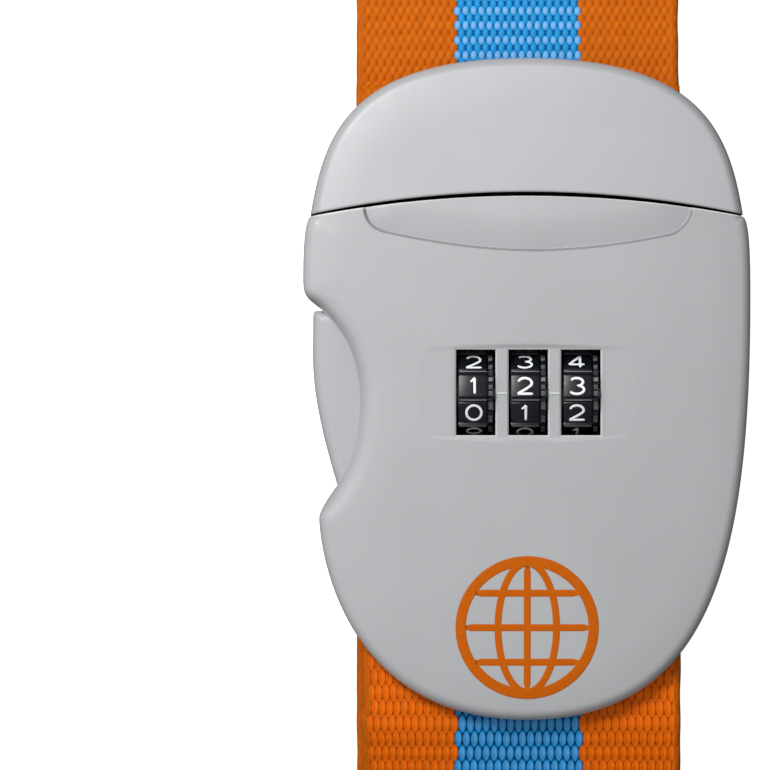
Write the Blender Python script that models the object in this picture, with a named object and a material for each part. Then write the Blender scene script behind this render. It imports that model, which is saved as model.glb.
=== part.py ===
"""Luggage strap: a webbing loop folded flat under its combination-lock buckle, face up."""

import math

import bmesh
import bpy
from mathutils import Vector

MM = 0.001

# Fits
GAP = 0.3  # clearance between pieces that touch

# Buckle, overall
BUCKLE_WIDTH = 68.8
BUCKLE_LENGTH = 101.8
BUCKLE_THICK = 17.0
CROWN_ACROSS = 1.5  # fall of the face from the middle to the sides
CROWN_ALONG = 1.8  # fall of the face from the middle to the ends
COVER_WALL = 2.0
BACK_WALL = 2.0
EDGE_ROUND = 1.4
SEAM = 0.6  # gap between the body and the cap

# Webbing
WEB_WIDTH = 50.0
WEB_THICK = 1.6
WEB_OFFSET = -1.2  # the webbing sits a little off the buckle's middle
HANK_LENGTH = 300.0
TAIL_END = 138.0  # from the middle of the folded strap
HEM_LENGTH = 18.0
KEEPER_WALL = 1.0
KEEPER_LENGTH = 14.0
KEEPER_OUT = 33.1  # from the buckle's lower end to the keeper's middle

# Dials
DIAL_COUNT = 3
DIAL_PITCH = 8.05
DIAL_MIDDLE_X = 0.15
DIAL_AXIS_Y = -0.7
DIAL_RADIUS = 7.0
RIDGE_HEIGHT = 0.22
DIGITS = 10
WINDOW_WIDTH = 6.04
WINDOW_LENGTH = 13.1
DIAL_SHOWS = 1.15  # how far a dial stands out of the floor of the window recess
FLANGE_WIDTH = 0.9
RECESS_DEPTH = 0.35
RECESS_LENGTH = 35.0
READING_TILT = 10.0  # degrees from the top of the dial to the digit that is read

# Lock
SHAFT_RADIUS = 1.5
TOOTH_REACH = 3.0
TOOTH_LENGTH = 1.4
TOOTH_WIDTH = 1.2
SLEEVE_WALL = 0.7
BUTTON_TRAVEL = 3.5
BUTTON_ROUND = 1.3
BUTTON_LOW = 3.8
BUTTON_HIGH = 12.6
TONGUE_WIDTH = 25.0
TONGUE_THICK = 2.5
TONGUE_LOW = 6.5
TONGUE_TIP = 9.0
LEAF_THICK = 0.8
LEAF_WIDTH = 4.0
LEAF_AT = 16.0
LEAF_SCREW_RADIUS = 0.7
LEAF_POST_HALF = 2.3
HOOK_LENGTH = 8.0
HOOK_BITE = 2.0
RESET_TRAVEL = 2.0
RESET_AT_X = 6.0
RAIL_WIDTH = 1.5
COMB_THICK = 0.8
SPRING_WIRE = 0.45

# Bars and screws
CAP_BAR_RADIUS = 2.0
CAP_BAR_IN = 10.9  # from the cap's outer end to the bar
GRIP_BAR_RADIUS = 2.2
GRIP_BAR_AT = -27.0
KNURL = 0.2
KNURL_TEETH = 18
SCREW_RADIUS = 1.2
SCREW_HEAD_RADIUS = 2.0
SCREW_HEAD_THICK = 1.2
SCREW_LENGTH = 9.0
BOSS_WALL = 1.05
CAP_SCREW_X = 8.0
BACK_INSET = 0.15
BACK_ROUND = 0.5

# Derived heights and places
PITCH = WEB_THICK + GAP
LAYERS = 5
HANK_TOP = LAYERS * PITCH - GAP
BASE = HANK_TOP + GAP  # underside of the buckle
HALF_W = BUCKLE_WIDTH / 2
HALF_L = BUCKLE_LENGTH / 2
FACE = BUCKLE_THICK
RECESS_FLOOR = FACE - RECESS_DEPTH
DIAL_TOP = RECESS_FLOOR + DIAL_SHOWS
DIAL_AXIS_Z = DIAL_TOP - DIAL_RADIUS - RIDGE_HEIGHT
DIAL_HALF = WINDOW_WIDTH / 2 - GAP
SLEEVE_HALF = DIAL_HALF + 0.16
SLEEVE_BORE = TOOTH_REACH + GAP
SLEEVE_RADIUS = SLEEVE_BORE + SLEEVE_WALL
DIAL_BORE = SLEEVE_RADIUS + GAP
DIALS_X = [DIAL_MIDDLE_X + (i - (DIAL_COUNT - 1) / 2) * DIAL_PITCH for i in range(DIAL_COUNT)]
TONGUE_HIGH = TONGUE_LOW + TONGUE_THICK
LEAF_LOW = TONGUE_HIGH + 2.0
GRIP_BAR_Z = BACK_WALL + GAP + GAP + WEB_THICK + GAP + GRIP_BAR_RADIUS + 0.5
WEB_MOUTH_HALF = WEB_WIDTH / 2 + abs(WEB_OFFSET) + 2 * GAP
CARRIER_WALL = 1.3
CARRIER_HALF = DIAL_PITCH * (DIAL_COUNT - 1) / 2 + DIAL_HALF + TOOTH_LENGTH + CARRIER_WALL + 4 * GAP
BAR_CLEAR = DIAL_RADIUS + RIDGE_HEIGHT + 2 * GAP
CAP_BAR_AT = HALF_L - CAP_BAR_IN
KEEPER_AT = -HALF_L - KEEPER_OUT
RAIL_IN = TONGUE_WIDTH / 2 + GAP
RAIL_OUT = RAIL_IN + RAIL_WIDTH
LIFTER_TIP = -(RAIL_OUT + 2 * GAP + BUTTON_TRAVEL)  # left of the rail by the button's travel
LEAF_SCREW_X = RAIL_OUT + 1.3 + LEAF_POST_HALF
BUTTON_INNER = -0.625 * HALF_W
BUTTON_FOOT = -0.295 * HALF_L
BUTTON_HEAD = 0.236 * HALF_L
COVER_MIDDLE = (2.0, -8.0)  # where the crowned face is drawn in to


def clear_scene():
    for thing in list(bpy.data.objects):
        bpy.data.objects.remove(thing, do_unlink=True)


def material(name, colour, roughness, metallic=0.0):
    made = bpy.data.materials.new(name)
    made.use_nodes = True
    shader = made.node_tree.nodes["Principled BSDF"]
    shader.inputs["Base Color"].default_value = (*colour, 1.0)
    shader.inputs["Roughness"].default_value = roughness
    shader.inputs["Metallic"].default_value = metallic
    return made


def new_object(name, verts, faces, base=BASE, split=False):
    mesh = bpy.data.meshes.new(name)
    mesh.from_pydata([(x, y, z + base) for x, y, z in verts], [], faces)
    if split:
        whole = bmesh.new()
        whole.from_mesh(mesh)
        bmesh.ops.triangulate(whole, faces=whole.faces)
        whole.to_mesh(mesh)
        whole.free()
    made = bpy.data.objects.new(name, mesh)
    made.scale = (MM, MM, MM)
    bpy.context.scene.collection.objects.link(made)
    return made


def helper(made):
    made.hide_render = True
    made.display_type = "WIRE"
    return made


def boolean(target, tool, operation):
    helper(tool)
    step = target.modifiers.new(operation.lower(), "BOOLEAN")
    step.operation = operation
    step.solver = "EXACT"
    step.object = tool
    return target


def cut(target, *tools):
    for tool in tools:
        boolean(target, tool, "DIFFERENCE")
    return target


def fuse(target, *tools):
    for tool in tools:
        boolean(target, tool, "UNION")
    return target


def box(name, low, high, base=BASE):
    (x0, y0, z0), (x1, y1, z1) = low, high
    verts = [
        (x0, y0, z0), (x1, y0, z0), (x1, y1, z0), (x0, y1, z0),
        (x0, y0, z1), (x1, y0, z1), (x1, y1, z1), (x0, y1, z1),
    ]  # fmt: skip
    faces = [(3, 2, 1, 0), (4, 5, 6, 7), (0, 1, 5, 4), (1, 2, 6, 5), (2, 3, 7, 6), (3, 0, 4, 7)]
    return new_object(name, verts, faces, base)


def loft(name, rings, base=BASE, split=False):
    """Closed solid through rings of equal length that run anticlockwise seen from the last one."""
    count = len(rings[0])
    verts = [point for ring in rings for point in ring]
    faces = [tuple(reversed(range(count)))]
    for i in range(len(rings) - 1):
        for j in range(count):
            a = i * count + j
            b = i * count + (j + 1) % count
            faces.append((a, b, b + count, a + count))
    last = (len(rings) - 1) * count
    faces.append(tuple(range(last, last + count)))
    return new_object(name, verts, faces, base, split)


def prism(name, outline, low, high):
    return loft(name, [[(x, y, low) for x, y in outline], [(x, y, high) for x, y in outline]])


def along_x(name, section, x0, x1):
    """Prism along X of a (y, z) section that runs anticlockwise seen from +X."""
    return loft(name, [[(x0, y, z) for y, z in section], [(x1, y, z) for y, z in section]])


def along_y(name, section, y0, y1):
    """Prism along Y of an (x, z) section that runs anticlockwise seen from -Y."""
    return loft(name, [[(x, y1, z) for x, z in section], [(x, y0, z) for x, z in section]])


def circle(radius, sides=32, turn=0.0):
    steps = [turn + 2 * math.pi * i / sides for i in range(sides)]
    return [(radius * math.cos(a), radius * math.sin(a)) for a in steps]


def rod_x(name, radius, x0, x1, y, z, sides=24):
    return along_x(name, [(y + a, z + b) for a, b in circle(radius, sides)], x0, x1)


def rod_z(name, radius, z0, z1, x, y, sides=16):
    return prism(name, [(x + a, y + b) for a, b in circle(radius, sides)], z0, z1)


def curve(p0, p1, p2, p3, steps):
    """Points of a cubic Bezier, without its last point."""
    found = []
    for i in range(steps):
        t = i / steps
        u = 1 - t
        weights = (u**3, 3 * u * u * t, 3 * u * t * t, t**3)
        found.append(tuple(sum(w * p[k] for w, p in zip(weights, (p0, p1, p2, p3))) for k in (0, 1)))
    return found


def arc_through(a, middle, b, steps):
    """Points of a shallow arch from a to b whose middle is at the given height, without b."""
    lift = middle - (a[1] + b[1]) / 2
    found = []
    for i in range(steps):
        t = i / steps
        y = a[1] + (b[1] - a[1]) * t + lift * 4 * t * (1 - t)
        found.append((a[0] + (b[0] - a[0]) * t, y))
    return found


def body_outline():
    w = HALF_W
    k = HALF_L
    shoulder = (0.977 * w, 0.515 * k)
    seam_mid = 0.582 * k
    points = curve((0, -k), (0.859 * w, -k), (w, -0.476 * k), (w, 0.295 * k), 15)
    points += [(w, 0.295 * k), (0.997 * w, 0.45 * k)]
    points += arc_through(shoulder, seam_mid, (-shoulder[0], shoulder[1]), 10)
    points += [(-shoulder[0], shoulder[1]), (-0.994 * w, 0.455 * k), (-w, 0.33 * k), (-0.987 * w, 0.282 * k)]
    waist = (-0.7456 * w, -0.031 * k)
    points += curve((-0.936 * w, 0.25 * k), (-0.867 * w, 0.209 * k), (waist[0], 0.13 * k), waist, 9)
    points += curve(waist, (waist[0], -0.226 * k), (-0.862 * w, -0.298 * k), (-0.907 * w, -0.352 * k), 9)
    points += [(-0.907 * w, -0.352 * k), (-0.922 * w, -0.375 * k)]
    points += curve((-0.927 * w, -0.401 * k), (-0.927 * w, -0.45 * k), (-0.854 * w, -k), (0, -k), 15)
    return points


def cap_outline():
    w = HALF_W
    k = HALF_L
    corner = (0.972 * w, 0.531 * k)
    arm = (0.91 * w, 0.754 * k)
    top = (0.816 * w, k)
    seam_mid = 0.582 * k + SEAM
    points = curve(corner, arm, top, (0, k), 12)
    points += curve((0, k), (-top[0], top[1]), (-arm[0], arm[1]), (-corner[0], corner[1]), 12)
    back = arc_through((-corner[0], corner[1]), seam_mid, corner, 10)
    return points + back


def button_outline():
    w = HALF_W
    k = HALF_L
    corner = (-0.846 * w, BUTTON_FOOT)
    outer = curve((-0.956 * w, BUTTON_HEAD), (-0.956 * w, 0.082 * k), (-0.979 * w, 0.005 * k), corner, 14)
    return outer + [corner, (BUTTON_INNER, BUTTON_FOOT), (BUTTON_INNER, BUTTON_HEAD)]


def inset(points, by):
    """The outline moved inwards, for one that runs anticlockwise."""
    found = []
    count = len(points)
    for i, here in enumerate(points):
        before = Vector(points[i - 1])
        after = Vector(points[(i + 1) % count])
        one = (Vector(here) - before).normalized()
        two = (after - Vector(here)).normalized()
        normal = Vector((-(one.y + two.y), one.x + two.x))
        scale = normal.length / 2
        normal.normalize()
        found.append(tuple(Vector(here) + normal * by / max(scale, 0.6)))
    return found


def crossing(a, b, c, d):
    """Where the line through a and b meets the line through c and d."""
    one = Vector(b) - Vector(a)
    two = Vector(d) - Vector(c)
    gap = Vector(c) - Vector(a)
    along = (gap.x * two.y - gap.y * two.x) / (one.x * two.y - one.y * two.x)
    return tuple(Vector(a) + one * along)


def inner_outline(points, by):
    """The outline moved well inwards, without the edges that this turns round at a corner."""
    outer = list(points)
    found = inset(outer, by)
    i = 0
    while i < len(found):
        j = (i + 1) % len(found)
        was = Vector(outer[j]) - Vector(outer[i])
        now = Vector(found[j]) - Vector(found[i])
        if was.dot(now) > 0:
            i += 1
            continue
        meet = crossing(found[i - 1], found[i], found[j], found[(j + 1) % len(found)])
        found[i] = meet
        outer[i] = tuple((Vector(outer[i]) + Vector(outer[j])) / 2)
        del found[j], outer[j]
        i = max(i - 2, 0)
    return found


def face_height(x, y, drop=0.0):
    return FACE - drop - CROWN_ACROSS * (x / HALF_W) ** 2 - CROWN_ALONG * (y / HALF_L) ** 2


def ceiling_height(x, y):
    return face_height(x, y, COVER_WALL)


def back_height(x, y):
    return BACK_WALL


def button_height(x, y):
    return BUTTON_HIGH - 0.9 * max(0.0, (-x - 0.7 * HALF_W) / HALF_W) ** 2


def pillow(name, outline, low, height, rounding, centre, rings=(0.85, 0.6, 0.3), steps=3):
    """Solid on a flat foot whose crowned face rounds over into its walls."""
    layers = [[(x, y, low) for x, y in outline]]
    if not rounding:
        layers.append([(x, y, height(x, y)) for x, y in outline])
    for i in range(steps + 1 if rounding else 0):
        turn = math.pi / 2 * i / steps
        ring = inset(outline, rounding * (1 - math.cos(turn)))
        fall = rounding * (1 - math.sin(turn))
        layers.append([(x, y, height(x, y) - fall) for x, y in ring])
    edge = inset(outline, rounding) if rounding else outline
    for part in rings:
        ring = [(centre[0] + (x - centre[0]) * part, centre[1] + (y - centre[1]) * part) for x, y in edge]
        layers.append([(x, y, height(x, y)) for x, y in ring])
    return loft(name, layers, split=bool(rings))


def turned(name, profile, sides, x_axis_y, x_axis_z, wave=None):
    """Ring about the X axis through (x, radius) points, outside first and then the bore back."""
    verts = []
    faces = []
    for i in range(sides):
        a = 2 * math.pi * i / sides
        for j, (x, radius) in enumerate(profile):
            r = radius + (wave(j, a) if wave else 0.0)
            verts.append((x, x_axis_y + r * math.cos(a), x_axis_z + r * math.sin(a)))
    count = len(profile)
    for i in range(sides):
        for j in range(count):
            a = i * count + j
            b = i * count + (j + 1) % count
            c = ((i + 1) % sides) * count + (j + 1) % count
            d = ((i + 1) % sides) * count + j
            faces.append((a, d, c, b))
    return new_object(name, verts, faces)


def ribbon(name, path, thick, x0, x1, base=0.0):
    """Webbing through a path of (y, z) points, as a closed strip from x0 to x1."""
    left = []
    right = []
    for i, here in enumerate(path):
        before = Vector(path[max(i - 1, 0)])
        after = Vector(path[min(i + 1, len(path) - 1)])
        one = (Vector(here) - before).normalized() if i else (after - Vector(here)).normalized()
        two = (after - Vector(here)).normalized() if i < len(path) - 1 else one
        way = (one + two).normalized()
        side = Vector((-way.y, way.x)) * thick / 2 / max((one + two).length / 2, 0.5)
        left.append(tuple(Vector(here) + side))
        right.append(tuple(Vector(here) - side))
    verts = []
    for a, b in zip(left, right):
        verts += [(x0, *a), (x0, *b), (x1, *b), (x1, *a)]
    count = len(path)
    faces = [(0, 1, 2, 3)]
    for i in range(count - 1):
        a = i * 4
        for j in range(4):
            k = (j + 1) % 4
            faces.append((a + j, a + 4 + j, a + 4 + k, a + k))
    last = (count - 1) * 4
    faces.append((last + 3, last + 2, last + 1, last))
    return new_object(name, verts, faces, base)


def coil(name, x0, x1, y, z, radius, turns, wire=SPRING_WIRE):
    """Compression spring along X, with closed ends."""
    steps = int(turns * 14)
    sides = 6
    rings = []
    for i in range(steps + 1):
        t = i / steps
        a = 2 * math.pi * turns * t
        out = Vector((0, math.cos(a), math.sin(a)))
        middle = Vector((x0 + wire / 2 + (x1 - x0 - wire) * t, y, z)) + out * radius
        along = Vector((1, 0, 0))
        ring = []
        for j in range(sides):
            b = 2 * math.pi * j / sides
            ring.append(tuple(middle + (out * math.cos(b) - along * math.sin(b)) * wire / 2))
        rings.append(ring)
    return loft(name, rings)


def bend(y, z, radius, start, end, steps):
    """Points of a bend about (y, z), angles in degrees from +Y towards +Z."""
    found = []
    for i in range(steps + 1):
        a = math.radians(start + (end - start) * i / steps)
        found.append((y + radius * math.cos(a), z + radius * math.sin(a)))
    return found


def make_front_cover():
    outline = body_outline()
    inner = inner_outline(outline, COVER_WALL)
    cover = pillow("front_cover", outline, BACK_WALL + GAP, face_height, EDGE_ROUND, COVER_MIDDLE)
    hollow = pillow("cut_cover_hollow", inner, -1.0, ceiling_height, 0.0, COVER_MIDDLE)
    for i, (x, y) in enumerate(housing_screw_places()):
        cut(hollow, rod_z(f"cut_boss_{i}", SCREW_RADIUS + GAP + BOSS_WALL, -3, FACE + 2, x, y))
    cut(cover, hollow)
    end = RECESS_LENGTH / 2
    lens = arc_through((end, 5.6), 6.7, (-end, 5.6), 12)
    lens += arc_through((-end, -6.6), -7.9, (end, -6.6), 12)
    lens = [(x + DIAL_MIDDLE_X, y) for x, y in lens]
    cut(cover, prism("cut_window_recess", lens, RECESS_FLOOR, FACE + 3))
    low = DIAL_AXIS_Y - WINDOW_LENGTH / 2 + 0.15
    for i, x in enumerate(DIALS_X):
        half = WINDOW_WIDTH / 2
        cut(cover, box(f"cut_window_{i}", (x - half, low, 8), (x + half, low + WINDOW_LENGTH, FACE + 3)))
    bar = DIAL_PITCH - WINDOW_WIDTH
    for i in range(DIAL_COUNT - 1):
        x = (DIALS_X[i] + DIALS_X[i + 1]) / 2
        mark = box(
            f"cut_index_{i}",
            (x - bar * 0.38, DIAL_AXIS_Y - 0.22, RECESS_FLOOR - 0.25),
            (x + bar * 0.38, DIAL_AXIS_Y + 0.22, FACE + 2),
        )
        cut(cover, mark)
    thumb = arc_through((0.75 * HALF_W, 0.505 * HALF_L), 0.62 * HALF_L, (-0.75 * HALF_W, 0.505 * HALF_L), 16)
    thumb += arc_through((-0.75 * HALF_W, 0.5 * HALF_L), 0.415 * HALF_L, (0.75 * HALF_W, 0.5 * HALF_L), 16)
    cut(cover, prism("cut_thumb", thumb, face_height(0, HALF_L * 0.6) - 0.45, FACE + 2))
    way_out = box(
        "cut_button_way",
        (-HALF_W - 4, BUTTON_FOOT - GAP, BUTTON_LOW - GAP),
        (-0.66 * HALF_W, BUTTON_HEAD + 2 * GAP, BUTTON_HIGH + GAP),
    )
    cut(cover, way_out)
    half = TONGUE_WIDTH / 2 + GAP
    cut(cover, box("cut_tongue_way", (-half, 20, TONGUE_LOW - GAP), (half, 40, TONGUE_HIGH + GAP)))
    mouth_top = GRIP_BAR_Z + GRIP_BAR_RADIUS + WEB_THICK + 3 * GAP
    half = WEB_MOUTH_HALF
    cut(cover, box("cut_web_mouth", (-half, -2 * HALF_L, -1), (half, GRIP_BAR_AT - 4, mouth_top)))
    reach = 0.835 * HALF_W
    cut(cover, rod_x("cut_grip_socket", GRIP_BAR_RADIUS + GAP, -reach, reach, GRIP_BAR_AT, GRIP_BAR_Z))
    for i, (x, y) in enumerate(housing_screw_places()):
        cut(cover, rod_z(f"cut_cover_screw_{i}", SCREW_RADIUS + GAP, -3, SCREW_LENGTH + 1, x, y))
    return cover


def housing_screw_places():
    high = 0.393 * HALF_L
    low = GRIP_BAR_AT + 7.5
    return [(-0.78 * HALF_W, high), (0.785 * HALF_W, high), (-0.73 * HALF_W, low), (0.73 * HALF_W, low)]


def cap_screw_places():
    return [(-CAP_SCREW_X, 0.65 * HALF_L), (CAP_SCREW_X, 0.65 * HALF_L)]


def make_back_cover():
    outline = inset(body_outline(), BACK_INSET)
    cover = pillow("back_cover", outline, 0.0, back_height, BACK_ROUND, COVER_MIDDLE, rings=(), steps=2)
    for side in (-1, 1):
        a, b = sorted((side * RAIL_IN, side * RAIL_OUT))
        rail = box(f"add_rail_{side + 1}", (a, TONGUE_TIP + 1.5, 1), (b, 0.51 * HALF_L, TONGUE_HIGH + 0.2))
        fuse(cover, rail)
    fuse(cover, box("add_sill", (-RAIL_IN - 1, 19.5, 0.8), (RAIL_IN + 1, 0.5 * HALF_L, TONGUE_LOW - GAP)))
    post = box(
        "add_leaf_post",
        (LEAF_SCREW_X - LEAF_POST_HALF, LEAF_AT - 2.5, 1.2),
        (LEAF_SCREW_X + LEAF_POST_HALF, LEAF_AT + 2.5, LEAF_LOW - GAP),
    )
    fuse(cover, post)
    cut(cover, rod_z("cut_leaf_screw", LEAF_SCREW_RADIUS + GAP, 4, LEAF_LOW + 2, LEAF_SCREW_X, LEAF_AT))
    for i, (x, y) in enumerate(housing_screw_places()):
        cut(cover, rod_z(f"cut_back_shank_{i}", SCREW_RADIUS + GAP, -2, 4, x, y))
        cut(cover, rod_z(f"cut_back_head_{i}", SCREW_HEAD_RADIUS + GAP, -2, SCREW_HEAD_THICK + 0.1, x, y))
    x0 = RESET_AT_X
    fuse(cover, box("add_reset_stop", (x0 - 11.5, -18.6, 1.4), (x0 - 10.2, -14.9, 5.6)))
    cut(cover, box("cut_reset_way", (x0 - 2.6 - RESET_TRAVEL - GAP, -18.6, -1), (x0 + 2.6 + GAP, -14.8, 4)))
    return cover


def make_cap():
    outline = cap_outline()
    middle = (0.0, 0.76 * HALF_L)
    front = pillow("cap_front", outline, BACK_WALL + GAP, face_height, EDGE_ROUND, middle)
    inner = inner_outline(outline, COVER_WALL)
    hollow = pillow("cut_cap_hollow", inner, -1.0, ceiling_height, 0.0, middle)
    boss = SCREW_RADIUS + GAP + BOSS_WALL
    for i, (x, y) in enumerate(cap_screw_places()):
        cut(hollow, rod_z(f"cut_cap_boss_{i}", boss, TONGUE_HIGH + GAP, FACE + 2, x, y))
    cut(front, hollow)
    half = TONGUE_WIDTH / 2 + GAP
    cut(front, box("cut_cap_tongue", (-half, 0.5 * HALF_L, -1), (half, 0.66 * HALF_L, TONGUE_HIGH + GAP)))
    round_bar = CAP_BAR_RADIUS + WEB_THICK + 2 * GAP
    low = (-WEB_MOUTH_HALF, CAP_BAR_AT - round_bar, -1)
    mouth = box("cut_cap_mouth", low, (WEB_MOUTH_HALF, 2 * HALF_L, cap_bar_z() + round_bar))
    cut(front, mouth)
    reach = 0.775 * HALF_W
    cut(front, rod_x("cut_cap_socket", CAP_BAR_RADIUS + GAP, -reach, reach, CAP_BAR_AT, cap_bar_z()))
    for i, (x, y) in enumerate(cap_screw_places()):
        cut(front, rod_z(f"cut_cap_screw_{i}", SCREW_RADIUS + GAP, -3, SCREW_LENGTH + 3, x, y))

    lower = inset(outline, BACK_INSET)
    back = pillow("cap_back", lower, 0.0, back_height, BACK_ROUND, middle, rings=(), steps=2)
    for i, (x, y) in enumerate(cap_screw_places()):
        fuse(back, rod_z(f"add_cap_post_{i}", boss, 1.6, TONGUE_LOW - GAP, x, y))
    for i, (x, y) in enumerate(cap_screw_places()):
        cut(back, rod_z(f"cut_cap_shank_{i}", SCREW_RADIUS + GAP, -2, FACE, x, y))
        cut(back, rod_z(f"cut_cap_head_{i}", SCREW_HEAD_RADIUS + GAP, -2, SCREW_HEAD_THICK + 0.1, x, y))
    return front, back


def cap_bar_z():
    return BACK_WALL + 2 * GAP + WEB_THICK + GAP + CAP_BAR_RADIUS + 1.0


def make_tongue():
    half = TONGUE_WIDTH / 2
    tip = 2.0
    end = CAP_BAR_AT - CAP_BAR_RADIUS - WEB_THICK - 3 * GAP
    outline = [
        (-half + tip, TONGUE_TIP), (half - tip, TONGUE_TIP), (half, TONGUE_TIP + tip),
        (half, end), (-half, end), (-half, TONGUE_TIP + tip),
    ]  # fmt: skip
    plate = prism("tongue_plate", outline, TONGUE_LOW, TONGUE_HIGH)
    reach = HOOK_LENGTH / 2 + GAP
    side = LEAF_WIDTH / 2 + GAP
    cut(plate, box("cut_latch_window", (-reach, LEAF_AT - side, 3), (reach, LEAF_AT + side, 12)))
    for i, (x, y) in enumerate(cap_screw_places()):
        cut(plate, rod_z(f"cut_tongue_screw_{i}", SCREW_RADIUS + GAP, 3, 12, x, y))
    return plate


def make_screw(name, x, y, length=SCREW_LENGTH):
    head = rod_z(name, SCREW_HEAD_RADIUS, 0.1, SCREW_HEAD_THICK - 0.2, x, y)
    fuse(head, rod_z(f"add_{name}_shank", SCREW_RADIUS, 0.5, length, x, y))
    cut(head, box(f"cut_{name}_slot_a", (x - 1.3, y - 0.25, -1), (x + 1.3, y + 0.25, 0.6)))
    cut(head, box(f"cut_{name}_slot_b", (x - 0.25, y - 1.3, -1), (x + 0.25, y + 1.3, 0.6)))
    return head


def make_dial(index, x):
    chamfer = 0.15
    flange = x + DIAL_HALF - FLANGE_WIDTH
    rim = DIAL_RADIUS + RIDGE_HEIGHT
    profile = [
        (x - DIAL_HALF, DIAL_RADIUS - chamfer),
        (x - DIAL_HALF + chamfer, DIAL_RADIUS),
        (flange - 0.1, DIAL_RADIUS),
        (flange, DIAL_RADIUS - 0.35),
        (flange + 0.12, rim - 0.2),
        (x + DIAL_HALF - 0.2, rim - 0.2),
        (x + DIAL_HALF, rim - 0.5),
        (x + DIAL_HALF, DIAL_BORE),
        (x - DIAL_HALF, DIAL_BORE),
    ]

    def wave(j, a):
        if j in (0, 1, 2):
            tilt = math.radians(90.0 - READING_TILT)
            turn = ((a - tilt) * DIGITS / (2 * math.pi)) % 1.0
            from_ridge = abs(turn - 0.5) * 2 * math.pi / DIGITS
            return RIDGE_HEIGHT * max(0.0, 1.0 - from_ridge / 0.08)
        if j in (4, 5):
            return 0.12 * math.cos(30 * a)
        return 0.0

    return turned(f"number_dial_{index}", profile, 120, DIAL_AXIS_Y, DIAL_AXIS_Z, wave)


def make_sleeve(index, x):
    wall = 1.0
    profile = [
        (x - SLEEVE_HALF, SLEEVE_RADIUS),
        (x + SLEEVE_HALF, SLEEVE_RADIUS),
        (x + SLEEVE_HALF, SLEEVE_BORE),
        (x - SLEEVE_HALF + wall, SLEEVE_BORE),
        (x - SLEEVE_HALF + wall, SHAFT_RADIUS + GAP),
        (x - SLEEVE_HALF, SHAFT_RADIUS + GAP),
    ]
    sleeve = turned(f"code_sleeve_{index}", profile, 48, DIAL_AXIS_Y, DIAL_AXIS_Z)
    half = TOOTH_WIDTH / 2 + GAP
    gate = box(
        f"cut_gate_{index}",
        (x - SLEEVE_HALF - 1, DIAL_AXIS_Y - half, DIAL_AXIS_Z),
        (x - SLEEVE_HALF + wall + 0.5, DIAL_AXIS_Y + half, DIAL_AXIS_Z + SLEEVE_BORE),
    )
    return cut(sleeve, gate)


def make_shaft():
    x0 = BUTTON_INNER + GAP
    x1 = DIAL_MIDDLE_X + CARRIER_HALF + 1.5
    shaft = rod_x("toothed_shaft", SHAFT_RADIUS, x0, x1, DIAL_AXIS_Y, DIAL_AXIS_Z)
    for i, x in enumerate(DIALS_X):
        end = x - SLEEVE_HALF - GAP
        tooth = box(
            f"add_tooth_{i}",
            (end - TOOTH_LENGTH, DIAL_AXIS_Y - TOOTH_WIDTH / 2, DIAL_AXIS_Z),
            (end, DIAL_AXIS_Y + TOOTH_WIDTH / 2, DIAL_AXIS_Z + TOOTH_REACH),
        )
        fuse(shaft, tooth)
    return shaft


def make_carrier():
    x0 = DIAL_MIDDLE_X - CARRIER_HALF
    x1 = DIAL_MIDDLE_X + CARRIER_HALF
    y0 = DIAL_AXIS_Y - BAR_CLEAR
    y1 = DIAL_AXIS_Y + BAR_CLEAR
    wall = 1.4
    low = BACK_WALL + GAP
    high = DIAL_AXIS_Z + SLEEVE_RADIUS - 0.6
    step = DIAL_AXIS_Z - 1.6
    carrier = box("dial_carrier", (x0, y0 - wall, low), (x1, y1 + wall, high))
    in0 = x0 + CARRIER_WALL
    in1 = x1 - CARRIER_WALL
    cut(carrier, box("cut_carrier_bay", (in0, y0, -1), (in1, y1, high + 2)))
    cut(carrier, box("cut_carrier_top", (in0, y0 - 4, step), (in1, y1 + 4, high + 2)))
    cut(carrier, rod_x("cut_carrier_bore", SHAFT_RADIUS + GAP, x0 - 2, x1 + 2, DIAL_AXIS_Y, DIAL_AXIS_Z))
    return carrier


def make_comb():
    y1 = DIAL_AXIS_Y - DIAL_RADIUS - RIDGE_HEIGHT - GAP
    z0 = DIAL_AXIS_Z - 1.6 + GAP
    half = CARRIER_HALF - CARRIER_WALL - 1
    z1 = z0 + COMB_THICK
    comb = box("detent_comb", (DIAL_MIDDLE_X - half, y1 - 4.2, z0), (DIAL_MIDDLE_X + half, y1 - 2.0, z1))
    for i, x in enumerate(DIALS_X):
        fuse(comb, box(f"add_finger_{i}", (x - 1.4, y1 - 2.6, z0), (x + 1.4, y1, z1)))
    return comb


def make_leaf():
    hook = HOOK_LENGTH / 2
    tip = TONGUE_HIGH - HOOK_BITE
    top = LEAF_LOW + LEAF_THICK
    section = [
        (LIFTER_TIP - 1.0, top), (LIFTER_TIP - 1.0, LEAF_LOW), (LIFTER_TIP, 8.5), (LIFTER_TIP + 1.6, 8.5),
        (LIFTER_TIP + 2.2, LEAF_LOW), (-hook, LEAF_LOW), (-hook, tip), (hook, tip), (hook, LEAF_LOW),
        (LEAF_SCREW_X + 2.1, LEAF_LOW), (LEAF_SCREW_X + 2.1, top),
    ]  # fmt: skip
    leaf = along_y("latch_leaf", section, LEAF_AT - LEAF_WIDTH / 2, LEAF_AT + LEAF_WIDTH / 2)
    return cut(leaf, rod_z("cut_leaf_hole", LEAF_SCREW_RADIUS + GAP, 6, 15, LEAF_SCREW_X, LEAF_AT))


def make_leaf_screw():
    top = LEAF_LOW + LEAF_THICK + GAP
    screw = rod_z("latch_screw", LEAF_SCREW_RADIUS, 5, top + GAP, LEAF_SCREW_X, LEAF_AT)
    return fuse(screw, rod_z("add_latch_screw_head", 1.7, top, top + 0.8, LEAF_SCREW_X, LEAF_AT))


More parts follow.
